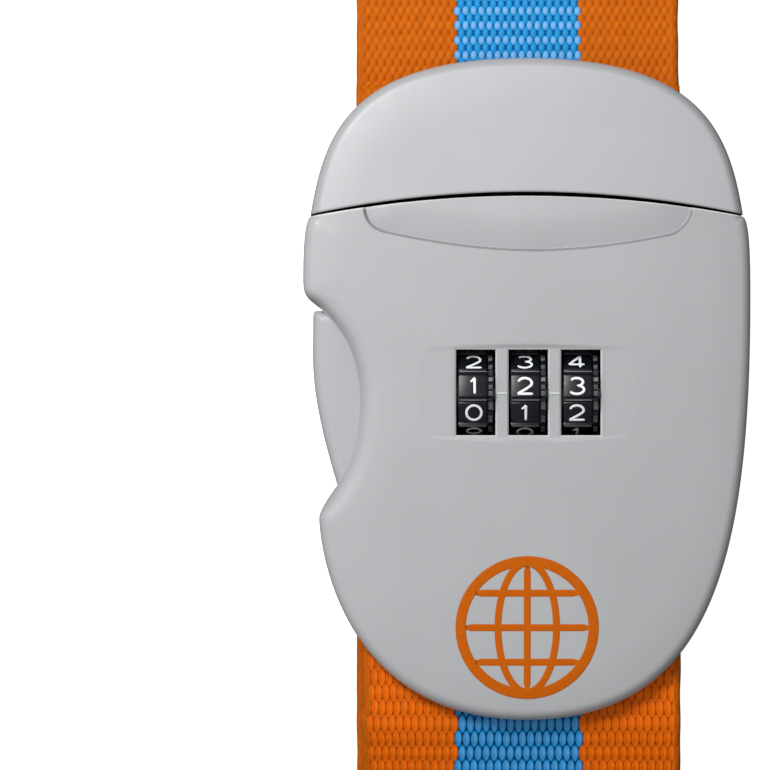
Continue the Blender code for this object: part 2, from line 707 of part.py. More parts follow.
def make_button():
    outline = button_outline()
    rings = (0.6, 0.2)
    middle = (-0.75 * HALF_W, -1.0)
    button = pillow("release_button", outline, BUTTON_LOW, button_height, BUTTON_ROUND, middle, rings)
    inside = BUTTON_INNER - 2.5
    ramp = [(inside, 4.6), (LIFTER_TIP, 4.6), (LIFTER_TIP, 5.2), (LIFTER_TIP - 2.2, 8.0), (inside, 8.0)]
    fuse(button, along_y("add_lifter", ramp, 8.0, LEAF_AT + LEAF_WIDTH / 2))
    return button


def make_reset():
    x = RESET_AT_X
    slide = box("reset_slide", (x - 5.2, -19.6, BACK_WALL + GAP), (x + 4.8, -13.8, BACK_WALL + GAP + 1.0))
    fuse(slide, box("add_reset_knob", (x - 2.6, -18.3, 0.2), (x + 2.6, -15.1, BACK_WALL + GAP + 0.5)))
    for i in range(3):
        at = x - 1.5 + 1.5 * i
        cut(slide, box(f"cut_reset_grip_{i}", (at - 0.25, -20, -1), (at + 0.25, -13, 0.5)))
    stop = x - 5.2 - 5.0
    return slide, coil("reset_spring", stop + GAP, x - 5.2 - GAP, -16.7, BACK_WALL + 2.1, 1.1, 4)


def upper_leg_path():
    bar = BASE + cap_bar_z()
    radius = CAP_BAR_RADIUS + GAP + WEB_THICK / 2
    low = bar - radius
    level = HANK_TOP + GAP + WEB_THICK / 2
    end = HANK_LENGTH / 2 - WEB_THICK / 2 - PITCH / 2
    path = [(CAP_BAR_AT + 7.0, low + PITCH), (CAP_BAR_AT + 4.4, low + PITCH + 0.1)]
    path += bend(CAP_BAR_AT, bar, radius, 55, 270, 14)
    path += [(CAP_BAR_AT + 6.0, low), (CAP_BAR_AT + 12.0, low - 0.4)]
    path += [(CAP_BAR_AT + 24.0, level + 0.9), (CAP_BAR_AT + 34.0, level)]
    path += bend(end, level - PITCH / 2, PITCH / 2, 90, -90, 8)
    return path


def hank_paths():
    fold = PITCH / 2
    near = HANK_LENGTH / 2 - WEB_THICK / 2 - fold
    outer_low = WEB_THICK / 2
    level = HANK_TOP + GAP + KEEPER_WALL + GAP + WEB_THICK / 2
    outer = (level - outer_low) / 2
    outer_y = -(HANK_LENGTH / 2 - WEB_THICK / 2 - outer)
    inner = outer_y + 1.0
    top = HANK_TOP - WEB_THICK / 2
    first = [(near - GAP, top), (inner + 2 * GAP, top)]
    rest = bend(inner, top - fold, fold, 110, 270, 8)
    rest[0] = (inner - 0.25, top)
    rest += bend(near, top - PITCH - fold, fold, 90, -90, 8)
    rest += bend(inner, top - 2 * PITCH - fold, fold, 90, 270, 8)
    rest += bend(near, top - 3 * PITCH - fold, fold, 90, -90, 8)
    rest += bend(outer_y, outer_low + outer, outer, 270, 90, 16)
    bar = BASE + GRIP_BAR_Z
    radius = GRIP_BAR_RADIUS + GAP + WEB_THICK / 2
    edge = -HALF_L  # the buckle's lower end, which both layers pass
    rest += [(edge - 23.1, level), (edge - 13.1, level + 0.3), (edge - 3.1, bar - radius - 0.1)]
    rest += [(edge + 2.9, bar - radius)]
    rest += bend(GRIP_BAR_AT, bar, radius, -90, 90, 14)
    high = level + PITCH
    rest += [(edge + 4.9, bar + radius), (edge - 1.1, bar + radius - 0.3)]
    rest += [(edge - 17.1, high + 0.7), (edge - 24.1, high)]
    rest += [(-TAIL_END, high), (-TAIL_END - 2.0, high + 0.2)]
    rest += bend(-TAIL_END - 2.0, high + 0.2 + fold, fold, 270, 90, 8)
    rest += [(-TAIL_END + 2.0, high + PITCH), (-TAIL_END + HEM_LENGTH, high + PITCH)]
    return first, rest, level


def make_webbing():
    x0 = WEB_OFFSET - WEB_WIDTH / 2
    x1 = WEB_OFFSET + WEB_WIDTH / 2
    first, rest, level = hank_paths()
    upper = ribbon("webbing_upper", list(reversed(upper_leg_path())), WEB_THICK, x0, x1)
    middle = ribbon("webbing_middle", list(reversed(first)), WEB_THICK, x0, x1)
    lower = ribbon("webbing_lower", list(reversed(rest)), WEB_THICK, x0, x1)
    inner_low = level - WEB_THICK / 2 - GAP
    inner_high = level + PITCH + WEB_THICK / 2 + GAP
    y0 = KEEPER_AT - KEEPER_LENGTH / 2
    y1 = KEEPER_AT + KEEPER_LENGTH / 2
    keeper = box(
        "tail_keeper",
        (x0 - GAP - KEEPER_WALL, y0, inner_low - KEEPER_WALL),
        (x1 + GAP + KEEPER_WALL, y1, inner_high + KEEPER_WALL),
        0.0,
    )
    cut(keeper, box("cut_keeper", (x0 - GAP, y0 - 5, inner_low), (x1 + GAP, y1 + 5, inner_high), 0.0))
    return upper, middle, lower, keeper


def attach(made, axis):
    """Hangs a piece, and the helpers that shape it, from an empty on its joint's axis."""
    made.parent = axis
    made.location -= axis.location
    for step in made.modifiers:
        if step.type == "BOOLEAN":
            attach(step.object, axis)


def put_on_axis(name, place, *pieces):
    axis = bpy.data.objects.new(name, None)
    axis.empty_display_size = 5 * MM
    axis.location = Vector(place) * MM
    bpy.context.scene.collection.objects.link(axis)
    for piece in pieces:
        attach(piece, axis)


def make_grip():
    half = 0.825 * HALF_W
    profile = [
        (-half, GRIP_BAR_RADIUS - KNURL), (half, GRIP_BAR_RADIUS - KNURL), (half, 0.6), (-half, 0.6),
    ]  # fmt: skip

    def wave(j, a):
        return KNURL * math.cos(KNURL_TEETH * a) if j in (0, 1) else 0.0

    return turned("gripping_bar", profile, 72, GRIP_BAR_AT, GRIP_BAR_Z, wave)


def finish(made, look):
    """Welds the slivers that cutting leaves, and gives the piece its material."""
    if made.modifiers:
        weld = made.modifiers.new("weld", "WELD")
        weld.merge_threshold = 0.003
    made.data.materials.append(look)
    return made


def build():
    clear_scene()
    grey = (0.55, 0.56, 0.57)
    looks = {
        "shell": material("shell_plastic", grey, 0.4),
        "cap": material("cap_plastic", grey, 0.4),
        "button": material("button_plastic", grey, 0.42),
        "back": material("back_plastic", (0.5, 0.51, 0.52), 0.45),
        "dial": material("dial_plastic", (0.01, 0.01, 0.012), 0.25),
        "inner": material("inner_plastic", (0.12, 0.12, 0.13), 0.5),
        "steel": material("steel", (0.62, 0.62, 0.63), 0.3, 1.0),
        "brass": material("brass", (0.7, 0.5, 0.2), 0.3, 1.0),
        "web": material("orange_webbing", (0.62, 0.13, 0.01), 0.8),
        "keeper": material("keeper_rubber", (0.02, 0.02, 0.025), 0.7),
    }
    finish(make_front_cover(), looks["shell"])
    finish(make_back_cover(), looks["back"])
    for i, (x, y) in enumerate(housing_screw_places(), 1):
        finish(make_screw(f"housing_screw_{i}", x, y), looks["steel"])
    finish(make_carrier(), looks["inner"])
    finish(make_comb(), looks["steel"])
    finish(make_leaf(), looks["steel"])
    finish(make_leaf_screw(), looks["steel"])
    finish(make_grip(), looks["steel"])
    x0 = BUTTON_INNER + GAP
    x1 = DIAL_MIDDLE_X - CARRIER_HALF - GAP
    finish(coil("button_spring", x0, x1, DIAL_AXIS_Y - 5.5, 7.2, 1.8, 3), looks["steel"])
    upper, middle, lower, keeper = make_webbing()
    finish(middle, looks["web"])
    finish(lower, looks["web"])
    finish(keeper, looks["keeper"])

    front, back = make_cap()
    bar_half = 0.767 * HALF_W
    bar = rod_x("cap_bar", CAP_BAR_RADIUS, -bar_half, bar_half, CAP_BAR_AT, cap_bar_z())
    tongue = [finish(front, looks["cap"]), finish(back, looks["back"])]
    tongue += [finish(make_tongue(), looks["steel"]), finish(bar, looks["steel"])]
    tongue.append(finish(upper, looks["web"]))
    for i, (x, y) in enumerate(cap_screw_places(), 1):
        tongue.append(finish(make_screw(f"cap_screw_{i}", x, y, SCREW_LENGTH + 2), looks["steel"]))
    put_on_axis("axis_tongue", (0.0, TONGUE_TIP, BASE + TONGUE_LOW + TONGUE_THICK / 2), *tongue)

    button = finish(make_button(), looks["button"])
    shaft = finish(make_shaft(), looks["steel"])
    put_on_axis("axis_button", (BUTTON_INNER, DIAL_AXIS_Y, BASE + DIAL_AXIS_Z), button, shaft)

    for i, x in enumerate(DIALS_X, 1):
        dial = finish(make_dial(i, x), looks["dial"])
        sleeve = finish(make_sleeve(i, x), looks["brass"])
        put_on_axis(f"axis_dial_{i}", (x, DIAL_AXIS_Y, BASE + DIAL_AXIS_Z), dial, sleeve)

    slide, spring = make_reset()
    finish(spring, looks["steel"])
    put_on_axis("axis_reset", (RESET_AT_X, -16.7, BASE + BACK_WALL), finish(slide, looks["inner"]))


build()
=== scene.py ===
"""Looks of the luggage strap: smooth shells, wrapped digits, woven webbing, and the studio."""

import math

import bpy
import numpy as np
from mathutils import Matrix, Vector


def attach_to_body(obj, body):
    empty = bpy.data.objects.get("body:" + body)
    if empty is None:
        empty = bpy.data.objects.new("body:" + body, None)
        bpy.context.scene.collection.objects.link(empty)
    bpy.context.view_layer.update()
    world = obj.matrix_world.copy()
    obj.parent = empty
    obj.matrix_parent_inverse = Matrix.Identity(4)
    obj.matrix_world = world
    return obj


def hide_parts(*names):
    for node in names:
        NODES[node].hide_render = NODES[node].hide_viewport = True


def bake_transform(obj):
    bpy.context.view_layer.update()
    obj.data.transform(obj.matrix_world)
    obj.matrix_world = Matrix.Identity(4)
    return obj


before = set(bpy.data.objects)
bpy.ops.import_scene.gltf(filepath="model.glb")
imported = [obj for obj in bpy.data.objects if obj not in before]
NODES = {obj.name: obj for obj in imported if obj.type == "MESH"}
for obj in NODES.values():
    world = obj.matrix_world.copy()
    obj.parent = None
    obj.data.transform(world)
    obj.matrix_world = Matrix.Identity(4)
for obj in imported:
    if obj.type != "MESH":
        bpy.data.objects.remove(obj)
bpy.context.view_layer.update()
MM = 0.001

# Sizes of the CAD model, in millimetres
HALF_W = 34.4
HALF_L = 50.9
SIZE = (HALF_W, HALF_L)
FACE = 17.0  # the face above the buckle's own back
CROWN_ACROSS = 1.5
CROWN_ALONG = 1.8
BASE = 9.5  # the buckle's back above the floor
SEAM = 0.6  # gap between the cover and the cap
EDGE_ROLL = 1.55
SEAM_ROLL = 0.35
SHOULDER = 7.5  # how far in from the edge the face falls away
RECESS_FLOOR = FACE - 0.35
DIAL_AXIS_Y = -0.7
DIAL_AXIS_Z = 10.58
DIAL_RADIUS = 7.0
RIDGE = 0.22
DIAL_HALF = 2.72
DIAL_BORE = 4.6
PLACES = 10  # digits round a dial
RIMS = 20  # knurls round a dial's rim
MIDDLE_X = 0.15
DIALS_X = [MIDDLE_X - 8.05, MIDDLE_X, MIDDLE_X + 8.05]
WINDOW_HALF = 3.02
WINDOW_LOW = DIAL_AXIS_Y - 6.4
WINDOW_HIGH = WINDOW_LOW + 13.1
BUTTON_LOW = 3.8
BUTTON_HIGH = 12.6
WALL = 2.0
SHELL_LOW = 2.3
WEB_MOUTH_HALF = 26.8
WEB_MOUTH_TOP = 11.7
TONGUE_HALF = 12.8  # half of the way out for the tongue plate
TONGUE_FROM, TONGUE_TO = 6.2, 9.3
WEB_THICK = 1.6
WEB_HALF = 25.0
WEB_MIDDLE = -1.2
PITCH = 1.9  # from one layer of folded webbing to the next
SEAM_POINTS = 300
INNER_RINGS = 130
AT_ONCE = 4000  # points whose distances are found in one go
HANK_TOP = 9.2
HANK_HALF = 150.0
READ_AT = math.radians(80.0)  # angle on the dial of the digit that is read, ten degrees off its top

# Places in the list of a piece's materials: painted shade, painted highlight on the window chamfers, index
# paint, painted highlight on the seam's arris; for a dial, painted highlights on its ridges and on its
# knurls
PAINTED_SHADE, CHAMFER_HIGHLIGHT, MARK, ARRIS_HIGHLIGHT = 1, 2, 3, 4
RIDGE_HIGHLIGHT, KNURL_HIGHLIGHT = 1, 2

# Print, in millimetres
GLOBE_X, GLOBE_Y, GLOBE_RADIUS = 0.0, -36.6, 10.2

# Camera
LENS = 260
SENSOR = 36
VIEW_SIDE = 0.1183  # metres across the picture

# Weave, in millimetres
COLUMN = 1.245
FLOAT_HALF = 0.64
STRIPE_HALF = 9.9
RELIEF = 0.27
# (row pitch, half height of the first floats, of the second floats, height of the second)
CLOSE_WEAVE = (2.36, 0.95, 1.22, 0.78)
LONG_WEAVE = (4.72, 1.55, 1.55, 1.0)
NO_RELIEF = (1e9, 1e9)


def link(name, data):
    made = bpy.data.objects.new(name, data)
    bpy.context.scene.collection.objects.link(made)
    return made


def mesh_object(name, verts, faces, sharp=None):
    """Smooth mesh from points in millimetres, with its edges sharp above an angle in degrees."""
    mesh = bpy.data.meshes.new(name)
    mesh.from_pydata((np.asarray(verts, float) * MM).tolist(), [], faces)
    mesh.shade_smooth()
    if sharp:
        mesh.set_sharp_from_angle(angle=math.radians(sharp))
    return link(name, mesh)


# ---- node helpers


class Graph:
    """A short way to write a material's nodes."""

    def __init__(self, name):
        self.material = bpy.data.materials.new(name)
        self.material.use_nodes = True
        self.tree = self.material.node_tree
        self.shader = self.tree.nodes["Principled BSDF"]

    def put(self, socket, value):
        """Links a socket or sets its value. A colour is given as three numbers."""
        if isinstance(value, bpy.types.NodeSocket):
            self.tree.links.new(value, socket)
        elif value is not None:
            socket.default_value = (*value, 1.0) if socket.type == "RGBA" else value

    def node(self, kind, **settings):
        made = self.tree.nodes.new(kind)
        for key, value in settings.items():
            setattr(made, key, value)
        return made

    def math(self, operation, a, b=None, clamp=False):
        made = self.node("ShaderNodeMath", operation=operation, use_clamp=clamp)
        self.put(made.inputs[0], a)
        self.put(made.inputs[1], b)
        return made.outputs[0]

    def add(self, a, b):
        return self.math("ADD", a, b)

    def less(self, a, b, clamp=False):
        return self.math("SUBTRACT", a, b, clamp)

    def times(self, a, b):
        return self.math("MULTIPLY", a, b)

    def size(self, a):
        return self.math("ABSOLUTE", a)

    def mix(self, factor, a, b):
        made = self.node("ShaderNodeMix", data_type="RGBA")
        self.put(made.inputs[0], factor)
        self.put(made.inputs[6], a)
        self.put(made.inputs[7], b)
        return made.outputs[2]

    def ramp(self, value, low, high, out_low=0.0, out_high=1.0):
        made = self.node("ShaderNodeMapRange", clamp=True)
        self.put(made.inputs[0], value)
        for socket, number in zip(made.inputs[1:5], (low, high, out_low, out_high)):
            socket.default_value = number
        return made.outputs[0]

    def place(self):
        """Rest position in millimetres."""
        coordinates = self.node("ShaderNodeTexCoord").outputs["Object"]
        scaled = self.node("ShaderNodeVectorMath", operation="SCALE")
        self.put(scaled.inputs[0], coordinates)
        scaled.inputs["Scale"].default_value = 1000.0
        return scaled.outputs[0]

    def noise(self, scale, detail, vector):
        made = self.node("ShaderNodeTexNoise")
        self.put(made.inputs["Vector"], vector)
        made.inputs["Scale"].default_value = scale
        made.inputs["Detail"].default_value = detail
        return made.outputs[0]

    def stretch(self, vector, x, y, z):
        made = self.node("ShaderNodeMapping")
        self.put(made.inputs["Vector"], vector)
        made.inputs["Scale"].default_value = (x, y, z)
        return made.outputs[0]

    def bump(self, height, strength, distance_mm, normal=None):
        made = self.node("ShaderNodeBump")
        made.inputs["Strength"].default_value = strength
        made.inputs["Distance"].default_value = distance_mm * MM
        self.put(made.inputs["Height"], height)
        self.put(made.inputs["Normal"], normal)
        return made.outputs[0]

    def set(self, **values):
        names = {
            "colour": "Base Color",
            "rough": "Roughness",
            "metal": "Metallic",
            "normal": "Normal",
            "specular": "Specular IOR Level",
            "aniso": "Anisotropic",
        }
        for key, value in values.items():
            self.put(self.shader.inputs[names[key]], value)
        return self.material


def moulded(name, colour, rough=0.42, grain=0.12, edge_shade_tone=None):
    """Satin moulded plastic: fine spark-eroded grain, faint mottling, slight handling marks; given an edge
    tone, painted shade darkens it along the rounded edge.
    """
    g = Graph(name)
    where = g.place()
    mottle = g.ramp(g.noise(0.06, 2.0, where), 0.3, 0.7)
    low = tuple(c * 0.972 for c in colour)
    high = tuple(min(1.0, c * 1.022) for c in colour)
    fine = g.noise(7.0, 2.0, where)
    rub = g.ramp(g.noise(0.35, 4.0, g.stretch(where, 1.0, 0.4, 1.0)), 0.35, 0.75)
    roughness = g.ramp(rub, 0.0, 1.0, rough - 0.04, rough + 0.05)
    tint = g.mix(mottle, low, high)
    if edge_shade_tone is not None:
        # Painted shade: darker where the mesh marks the rounded edge
        rounded_edge_shade = g.node("ShaderNodeAttribute", attribute_name="rounded_edge_shade").outputs["Fac"]
        tint = g.mix(rounded_edge_shade, tint, tuple(c * edge_shade_tone for c in colour))
    return g.set(colour=tint, rough=roughness, normal=g.bump(fine, grain, 0.03), specular=0.45)


def gloss_black(name):
    """Glossy black acetal of the dials, with patches of dust and fine scuffs."""
    g = Graph(name)
    where = g.place()
    dust = g.ramp(g.noise(1.3, 5.0, where), 0.5, 0.8)
    scuff = g.ramp(g.noise(2.2, 4.0, g.stretch(where, 0.25, 2.0, 2.0)), 0.45, 0.75)
    colour = g.mix(dust, (0.004, 0.005, 0.009), (0.010, 0.011, 0.017))
    rough = g.ramp(scuff, 0.0, 1.0, 0.3, 0.46)
    return g.set(colour=colour, rough=rough, normal=g.bump(scuff, 0.08, 0.03), specular=0.42)


def paint(name, colour, rough=0.45, specular=0.5):
    """Pad-printed or filled ink, a little uneven."""
    g = Graph(name)
    where = g.place()
    uneven = g.ramp(g.noise(1.6, 4.0, where), 0.3, 0.75)
    low = tuple(c * 0.88 for c in colour)
    tint = g.mix(uneven, low, colour)
    roughness = g.ramp(uneven, 0.0, 1.0, rough - 0.05, rough + 0.1)
    skin = g.bump(g.noise(6.0, 2.0, where), 0.1, 0.02)
    return g.set(colour=tint, rough=roughness, normal=skin, specular=specular)


def metal(name, colour, rough):
    """Brushed plated metal, drawn along X."""
    g = Graph(name)
    where = g.place()
    streak = g.noise(3.0, 4.0, g.stretch(where, 0.15, 3.0, 3.0))
    tarnish = g.ramp(g.noise(0.5, 3.0, where), 0.4, 0.75)
    low = tuple(c * 0.8 for c in colour)
    tint = g.mix(tarnish, colour, low)
    roughness = g.ramp(streak, 0.3, 0.7, rough - 0.08, rough + 0.12)
    return g.set(colour=tint, metal=1.0, aniso=0.3, rough=roughness, normal=g.bump(streak, 0.12, 0.02))


def webbing(name, weave):
    """Two families of warp floats, the second half a step across and along, with painted shade in the
    weft's gaps and where the families meet, and painted highlights on the floats' tops.
    """
    row, reach_one, reach_two, second_height = weave
    g = Graph(name)
    uv = g.node("ShaderNodeUVMap", uv_map="weave").outputs[0]
    split = g.node("ShaderNodeSeparateXYZ")
    g.put(split.inputs[0], uv)
    wander = g.times(g.less(g.noise(0.35, 2.0, uv), 0.5), 0.35)
    u = g.add(split.outputs[0], g.times(wander, 0.4))
    s = g.add(split.outputs[1], wander)

    def family(shift, reach):
        """(height of the floats, middle of their column)."""
        cell = g.add(g.math("DIVIDE", u, COLUMN), shift)
        middle = g.times(g.add(g.math("FLOOR", cell), 0.5 - shift), COLUMN)
        across = g.less(g.math("FRACT", cell), 0.5)
        along = g.less(g.math("FRACT", g.add(g.math("DIVIDE", s, row), shift)), 0.5)
        a = g.math("POWER", g.size(g.times(across, COLUMN / FLOAT_HALF)), 2.0)
        b = g.math("POWER", g.size(g.times(along, row / reach)), 2.0)
        return g.less(g.less(1.0, a), b), middle

    first, first_middle = family(0.0, reach_one)
    second, second_middle = family(0.5, reach_two)
    second = g.times(second, second_height)
    high = g.math("MAXIMUM", first, second, clamp=True)
    wins = g.math("GREATER_THAN", second, first)
    middle = g.add(g.times(wins, second_middle), g.times(g.less(1.0, wins), first_middle))
    stripe = g.math("LESS_THAN", g.size(middle), STRIPE_HALF)
    edge = g.ramp(g.size(u), 23.9, 24.2)
    # Painted shade: the colour darkens into the gaps between floats and where the two families meet
    body = g.ramp(high, 0.0, 0.3)
    meet_shade = g.ramp(g.size(g.less(first, second)), 0.0, 0.22, 0.35, 0.0)
    body = g.less(body, meet_shade, clamp=True)
    # Painted highlights: the colour lightens on the floats' tops
    top = g.math("MAXIMUM", first, g.times(second, 2 * second_height - 1.0))
    top_highlight = g.ramp(top, 0.1, 0.85)
    glint = g.ramp(top, 0.3, 0.95)
    deep = g.less(g.ramp(high, 0.05, 0.45), meet_shade, clamp=True)
    thread = g.noise(2.5, 3.0, g.stretch(uv, 9.0, 0.8, 1.0))
    tone = g.ramp(g.noise(0.5, 3.0, uv), 0.3, 0.7, 0.92, 1.06)
    # The four numbers: how much painted highlight the blue gets, how much the orange gets, the orange, and
    # the orange's painted highlight
    if weave is CLOSE_WEAVE:
        lift, orange_highlight, flank, ridge = 0.6, 0.35, (0.56, 0.107, 0.0006), (0.70, 0.185, 0.006)
    else:
        lift, orange_highlight, flank, ridge = 0.25, 0.6, (0.72, 0.106, 0.0004), (0.90, 0.18, 0.004)
    # The darker colours are painted shade in the gaps, the lighter ones painted highlights on the tops
    orange = g.mix(body, (0.27, 0.05, 0.0005), flank)
    orange = g.mix(g.times(top_highlight, orange_highlight), orange, ridge)
    blue = g.mix(deep, (0.0006, 0.008, 0.035), (0.002, 0.262, 0.64))
    blue = g.mix(g.times(glint, lift), blue, (0.34, 0.60, 0.93))
    plain = g.mix(g.ramp(thread, 0.3, 0.7), (0.40, 0.075, 0.001), (0.6, 0.13, 0.003))
    colour = g.mix(edge, g.mix(stripe, orange, blue), plain)
    toned = g.node("ShaderNodeHueSaturation")
    g.put(toned.inputs["Color"], colour)
    g.put(toned.inputs["Value"], tone)
    normal = g.bump(thread, 0.25, 0.06, g.bump(high, 0.5, 0.2))
    rough = g.ramp(thread, 0.3, 0.7, 0.5, 0.68)
    return g.set(colour=toned.outputs[0], rough=rough, normal=normal, specular=0.08)


def rubber(name):
    """Moulded black rubber with a grey bloom."""
    g = Graph(name)
    where = g.place()
    bloom = g.ramp(g.noise(0.5, 4.0, where), 0.4, 0.75)
    tint = g.mix(bloom, (0.016, 0.016, 0.018), (0.035, 0.035, 0.038))
    skin = g.bump(g.noise(4.0, 3.0, where), 0.25, 0.05)
    return g.set(colour=tint, rough=g.ramp(bloom, 0.0, 1.0, 0.5, 0.7), normal=skin)


# ---- outlines


def bezier(points, steps):
    """Cubic curve through control points given in shares of the buckle's half size."""
    t = (np.arange(steps) / steps)[:, None]
    p0, p1, p2, p3 = np.array(points) * SIZE
    return (1 - t) ** 3 * p0 + 3 * (1 - t) ** 2 * t * p1 + 3 * (1 - t) * t * t * p2 + t**3 * p3


def line(a, b, steps):
    t = (np.arange(steps) / steps)[:, None]
    a, b = np.array([a, b]) * SIZE
    return a * (1 - t) + b * t


def arch(a, middle, b, steps):
    """Parabola between two points, in shares, that passes a height in millimetres half way."""
    a, b = np.array([a, b]) * SIZE
    t = np.arange(steps) / steps
    lift = middle - (a[1] + b[1]) / 2
    x = a[0] + (b[0] - a[0]) * t
    y = a[1] + (b[1] - a[1]) * t + lift * 4 * t * (1 - t)
    return np.stack([x, y], axis=1)


def body_outline():
    """(right, seam, left): the cover's outline in three parts, anticlockwise from its lowest point."""
    right = np.vstack([
        bezier([(0, -1), (0.859, -1), (1, -0.476), (1, 0.295)], 240),
        bezier([(1, 0.295), (1, 0.45), (0.99, 0.5175), (0.963, 0.5215)], 36),
    ])
    seam = arch((0.963, 0.5215), 0.582 * HALF_L, (-0.963, 0.5215), SEAM_POINTS)
    left = np.vstack([
        bezier([(-0.963, 0.5215), (-0.99, 0.5175), (-1, 0.45), (-1, 0.33)], 26),
        bezier([(-1, 0.33), (-1, 0.275), (-0.975, 0.272), (-0.936, 0.25)], 16),
        bezier([(-0.936, 0.25), (-0.867, 0.209), (-0.7456, 0.13), (-0.7456, -0.031)], 56),
        bezier([(-0.7456, -0.031), (-0.7456, -0.226), (-0.862, -0.298), (-0.907, -0.352)], 66),
        bezier([(-0.907, -0.352), (-0.922, -0.37), (-0.9285, -0.38), (-0.9285, -0.392)], 10),
        bezier([(-0.9285, -0.392), (-0.927, -0.45), (-0.854, -1), (0, -1)], 190),
    ])
    return right, seam, left


def cap_outline():
    """(outer, seam): the cap's outline in two parts, anticlockwise."""
    outer = np.vstack([
        bezier([(0.967, 0.5265), (0.91, 0.754), (0.816, 1), (0, 1)], 150),
        bezier([(0, 1), (-0.816, 1), (-0.91, 0.754), (-0.967, 0.5265)], 150),
    ])
    return outer, arch((-0.967, 0.5265), 0.582 * HALF_L + SEAM, (0.967, 0.5265), SEAM_POINTS)


def distance(points, chain):
    """Least distance from each point to a chain of points, along its segments."""
    best = np.empty(len(points))
    a = chain[:-1]
    ab = chain[1:] - a
    length = (ab**2).sum(1)
    for i in range(0, len(points), AT_ONCE):
        p = points[i : i + AT_ONCE, None, :]
        t = np.clip(((p - a) * ab).sum(2) / np.maximum(length, 1e-9), 0, 1)
        best[i : i + AT_ONCE] = np.linalg.norm(p - (a + ab * t[..., None]), axis=2).min(1)
    return best


def fall(t, radius):
    """Drop of a quarter-round edge at a distance t in from the wall."""
    inside = np.clip(1 - t / radius, 0, 1)
    return radius * (1 - np.sqrt(np.maximum(0, 1 - inside**2)))


def crown(x, y):
    """Height of the domed face."""
    return FACE - CROWN_ACROSS * (x / HALF_W) ** 2 - CROWN_ALONG * (y / HALF_L) ** 2


def step(value, width):
    """Smooth rise from 0 to 1, centred on zero."""
    t = np.clip(value / width + 0.5, 0, 1)
    return t * t * (3 - 2 * t)


def dish_edge(x):
    """Lower edge of the crescent recess."""
    return 21.25 + 0.00893 * np.abs(x - 1.0) ** 1.84


def dish_side(y):
    """Half width of the crescent recess at a height, up its two curved ends."""
    return 25.4 - 2.6 * np.exp((24.2 - np.maximum(y, 23.6)) / 1.35)


def thumb_dish(x, y):
    """Depth of the crescent recess below the seam, deepest along its lower edge."""
    below = y - dish_edge(x)
    beside = (dish_side(y) - np.abs(x - 0.1)) * 0.8
    inside = -np.logaddexp(-3.0 * below, -3.0 * beside) / 3.0
    near = np.clip(1 - inside / 5.5, 0, 1) ** 2
    far = np.clip((inside - 4.2) / 4.0, 0, 1.2) ** 2
    return step(inside - 0.12, 0.3) * (0.15 + 0.75 * near + 0.4 * far)


def window_recess(x, y, z):
    """Height once the lens-shaped flat round the windows is cut."""
    beside = np.abs(x - MIDDLE_X)
    t = np.clip(beside / 17.0, 0, 1.2)
    upper = 6.56 - 0.6 * t**2
    lower = -7.8 + 0.6 * t**2
    inside = step(upper - y, 0.78) * step(y - lower, 0.5) * step(17.6 - beside, 1.2)
    return z - inside * np.maximum(0, z - RECESS_FLOOR)


def cover_height(x, y, side, seam):
    """Height of the cover's face, given the distances from its outer edge and from the seam."""
    z = window_recess(x, y, crown(x, y) - thumb_dish(x, y))
    shoulder = 0.55 * np.clip(1 - side / SHOULDER, 0, 1) ** 2
    notch = step(-22.0 - x, 3.0) * step(y + 19.0, 4.0) * step(14.0 - y, 3.0)
    return z - fall(side, EDGE_ROLL) - 0.55 * notch * fall(side, 3.2) - shoulder - fall(seam, SEAM_ROLL)


def ring_distances(reach):
    """Spacing of the rings in from the edge, closest near it, as shares of the way in."""
    near = [0, 0.04, 0.1, 0.18, 0.28, 0.4, 0.55, 0.72, 0.92, 1.15, 1.4, 1.65, 1.95]
    far = np.linspace(near[-1] / reach, 1, INNER_RINGS + 1)[1:]
    return np.concatenate([np.array(near) / reach, far])


def quad_band(a, b, count):
    """Faces between two rings of indices that both run anticlockwise, a outside or below."""
    i = np.arange(count)
    j = (i + 1) % count
    return np.stack([a + i, a + j, b + j, b + i], axis=1).tolist()


def flipped(faces):
    return [f[::-1] for f in faces]


def rectangle_ring(outline, centre, low, high):
    """Where the rays from centre to the outline cross a rectangle."""
    way = outline - centre
    with np.errstate(divide="ignore", invalid="ignore"):
        reach = np.where(way > 0, (high - centre) / way, (low - centre) / way)
    reach = np.where(np.isfinite(reach), reach, 9e9).min(1)
    return centre + way * reach[:, None]


def shell(outline, inner, rings, height, rim):
    """Closed thin-walled cover: outer face, inner face below it, joined at the rim and at any opening."""
    count = len(outline)
    verts, faces = [], []

    def add(ring_xy, z):
        verts.append(np.column_stack([ring_xy, z + BASE]))
        return (len(verts) - 1) * count

    levels = [add(outline, rim)]
    for share in rings:
        ring = outline * (1 - share) + inner * share
        levels.append(add(ring, height(ring)))
    for a, b in zip(levels, levels[1:]):
        faces += quad_band(a, b, count)
    wall_share = WALL / np.linalg.norm(outline - inner, axis=1)
    wall = outline + (inner - outline) * wall_share[:, None]
    inner_levels = [add(wall, rim)]
    for t in (0.0, 0.25, 0.5, 0.75, 1.0):
        ring = wall + (inner - wall) * t
        inner_levels.append(add(ring, np.maximum(height(ring) - WALL, rim + 0.05)))
    for a, b in zip(inner_levels, inner_levels[1:]):
        faces += flipped(quad_band(a, b, count))
    faces += flipped(quad_band(levels[0], inner_levels[0], count))
    faces += quad_band(levels[-1], inner_levels[-1], count)
    return np.vstack(verts), faces


def tint_seam(made, first, last, count):
    """Painted shade on the wall in the seam, and a painted highlight on the arris above it."""
    for polygon in made.data.polygons:
        ring, place = divmod(polygon.index, count)
        if first <= place < last and ring < 4:
            polygon.material_index = PAINTED_SHADE if ring == 0 else ARRIS_HIGHLIGHT


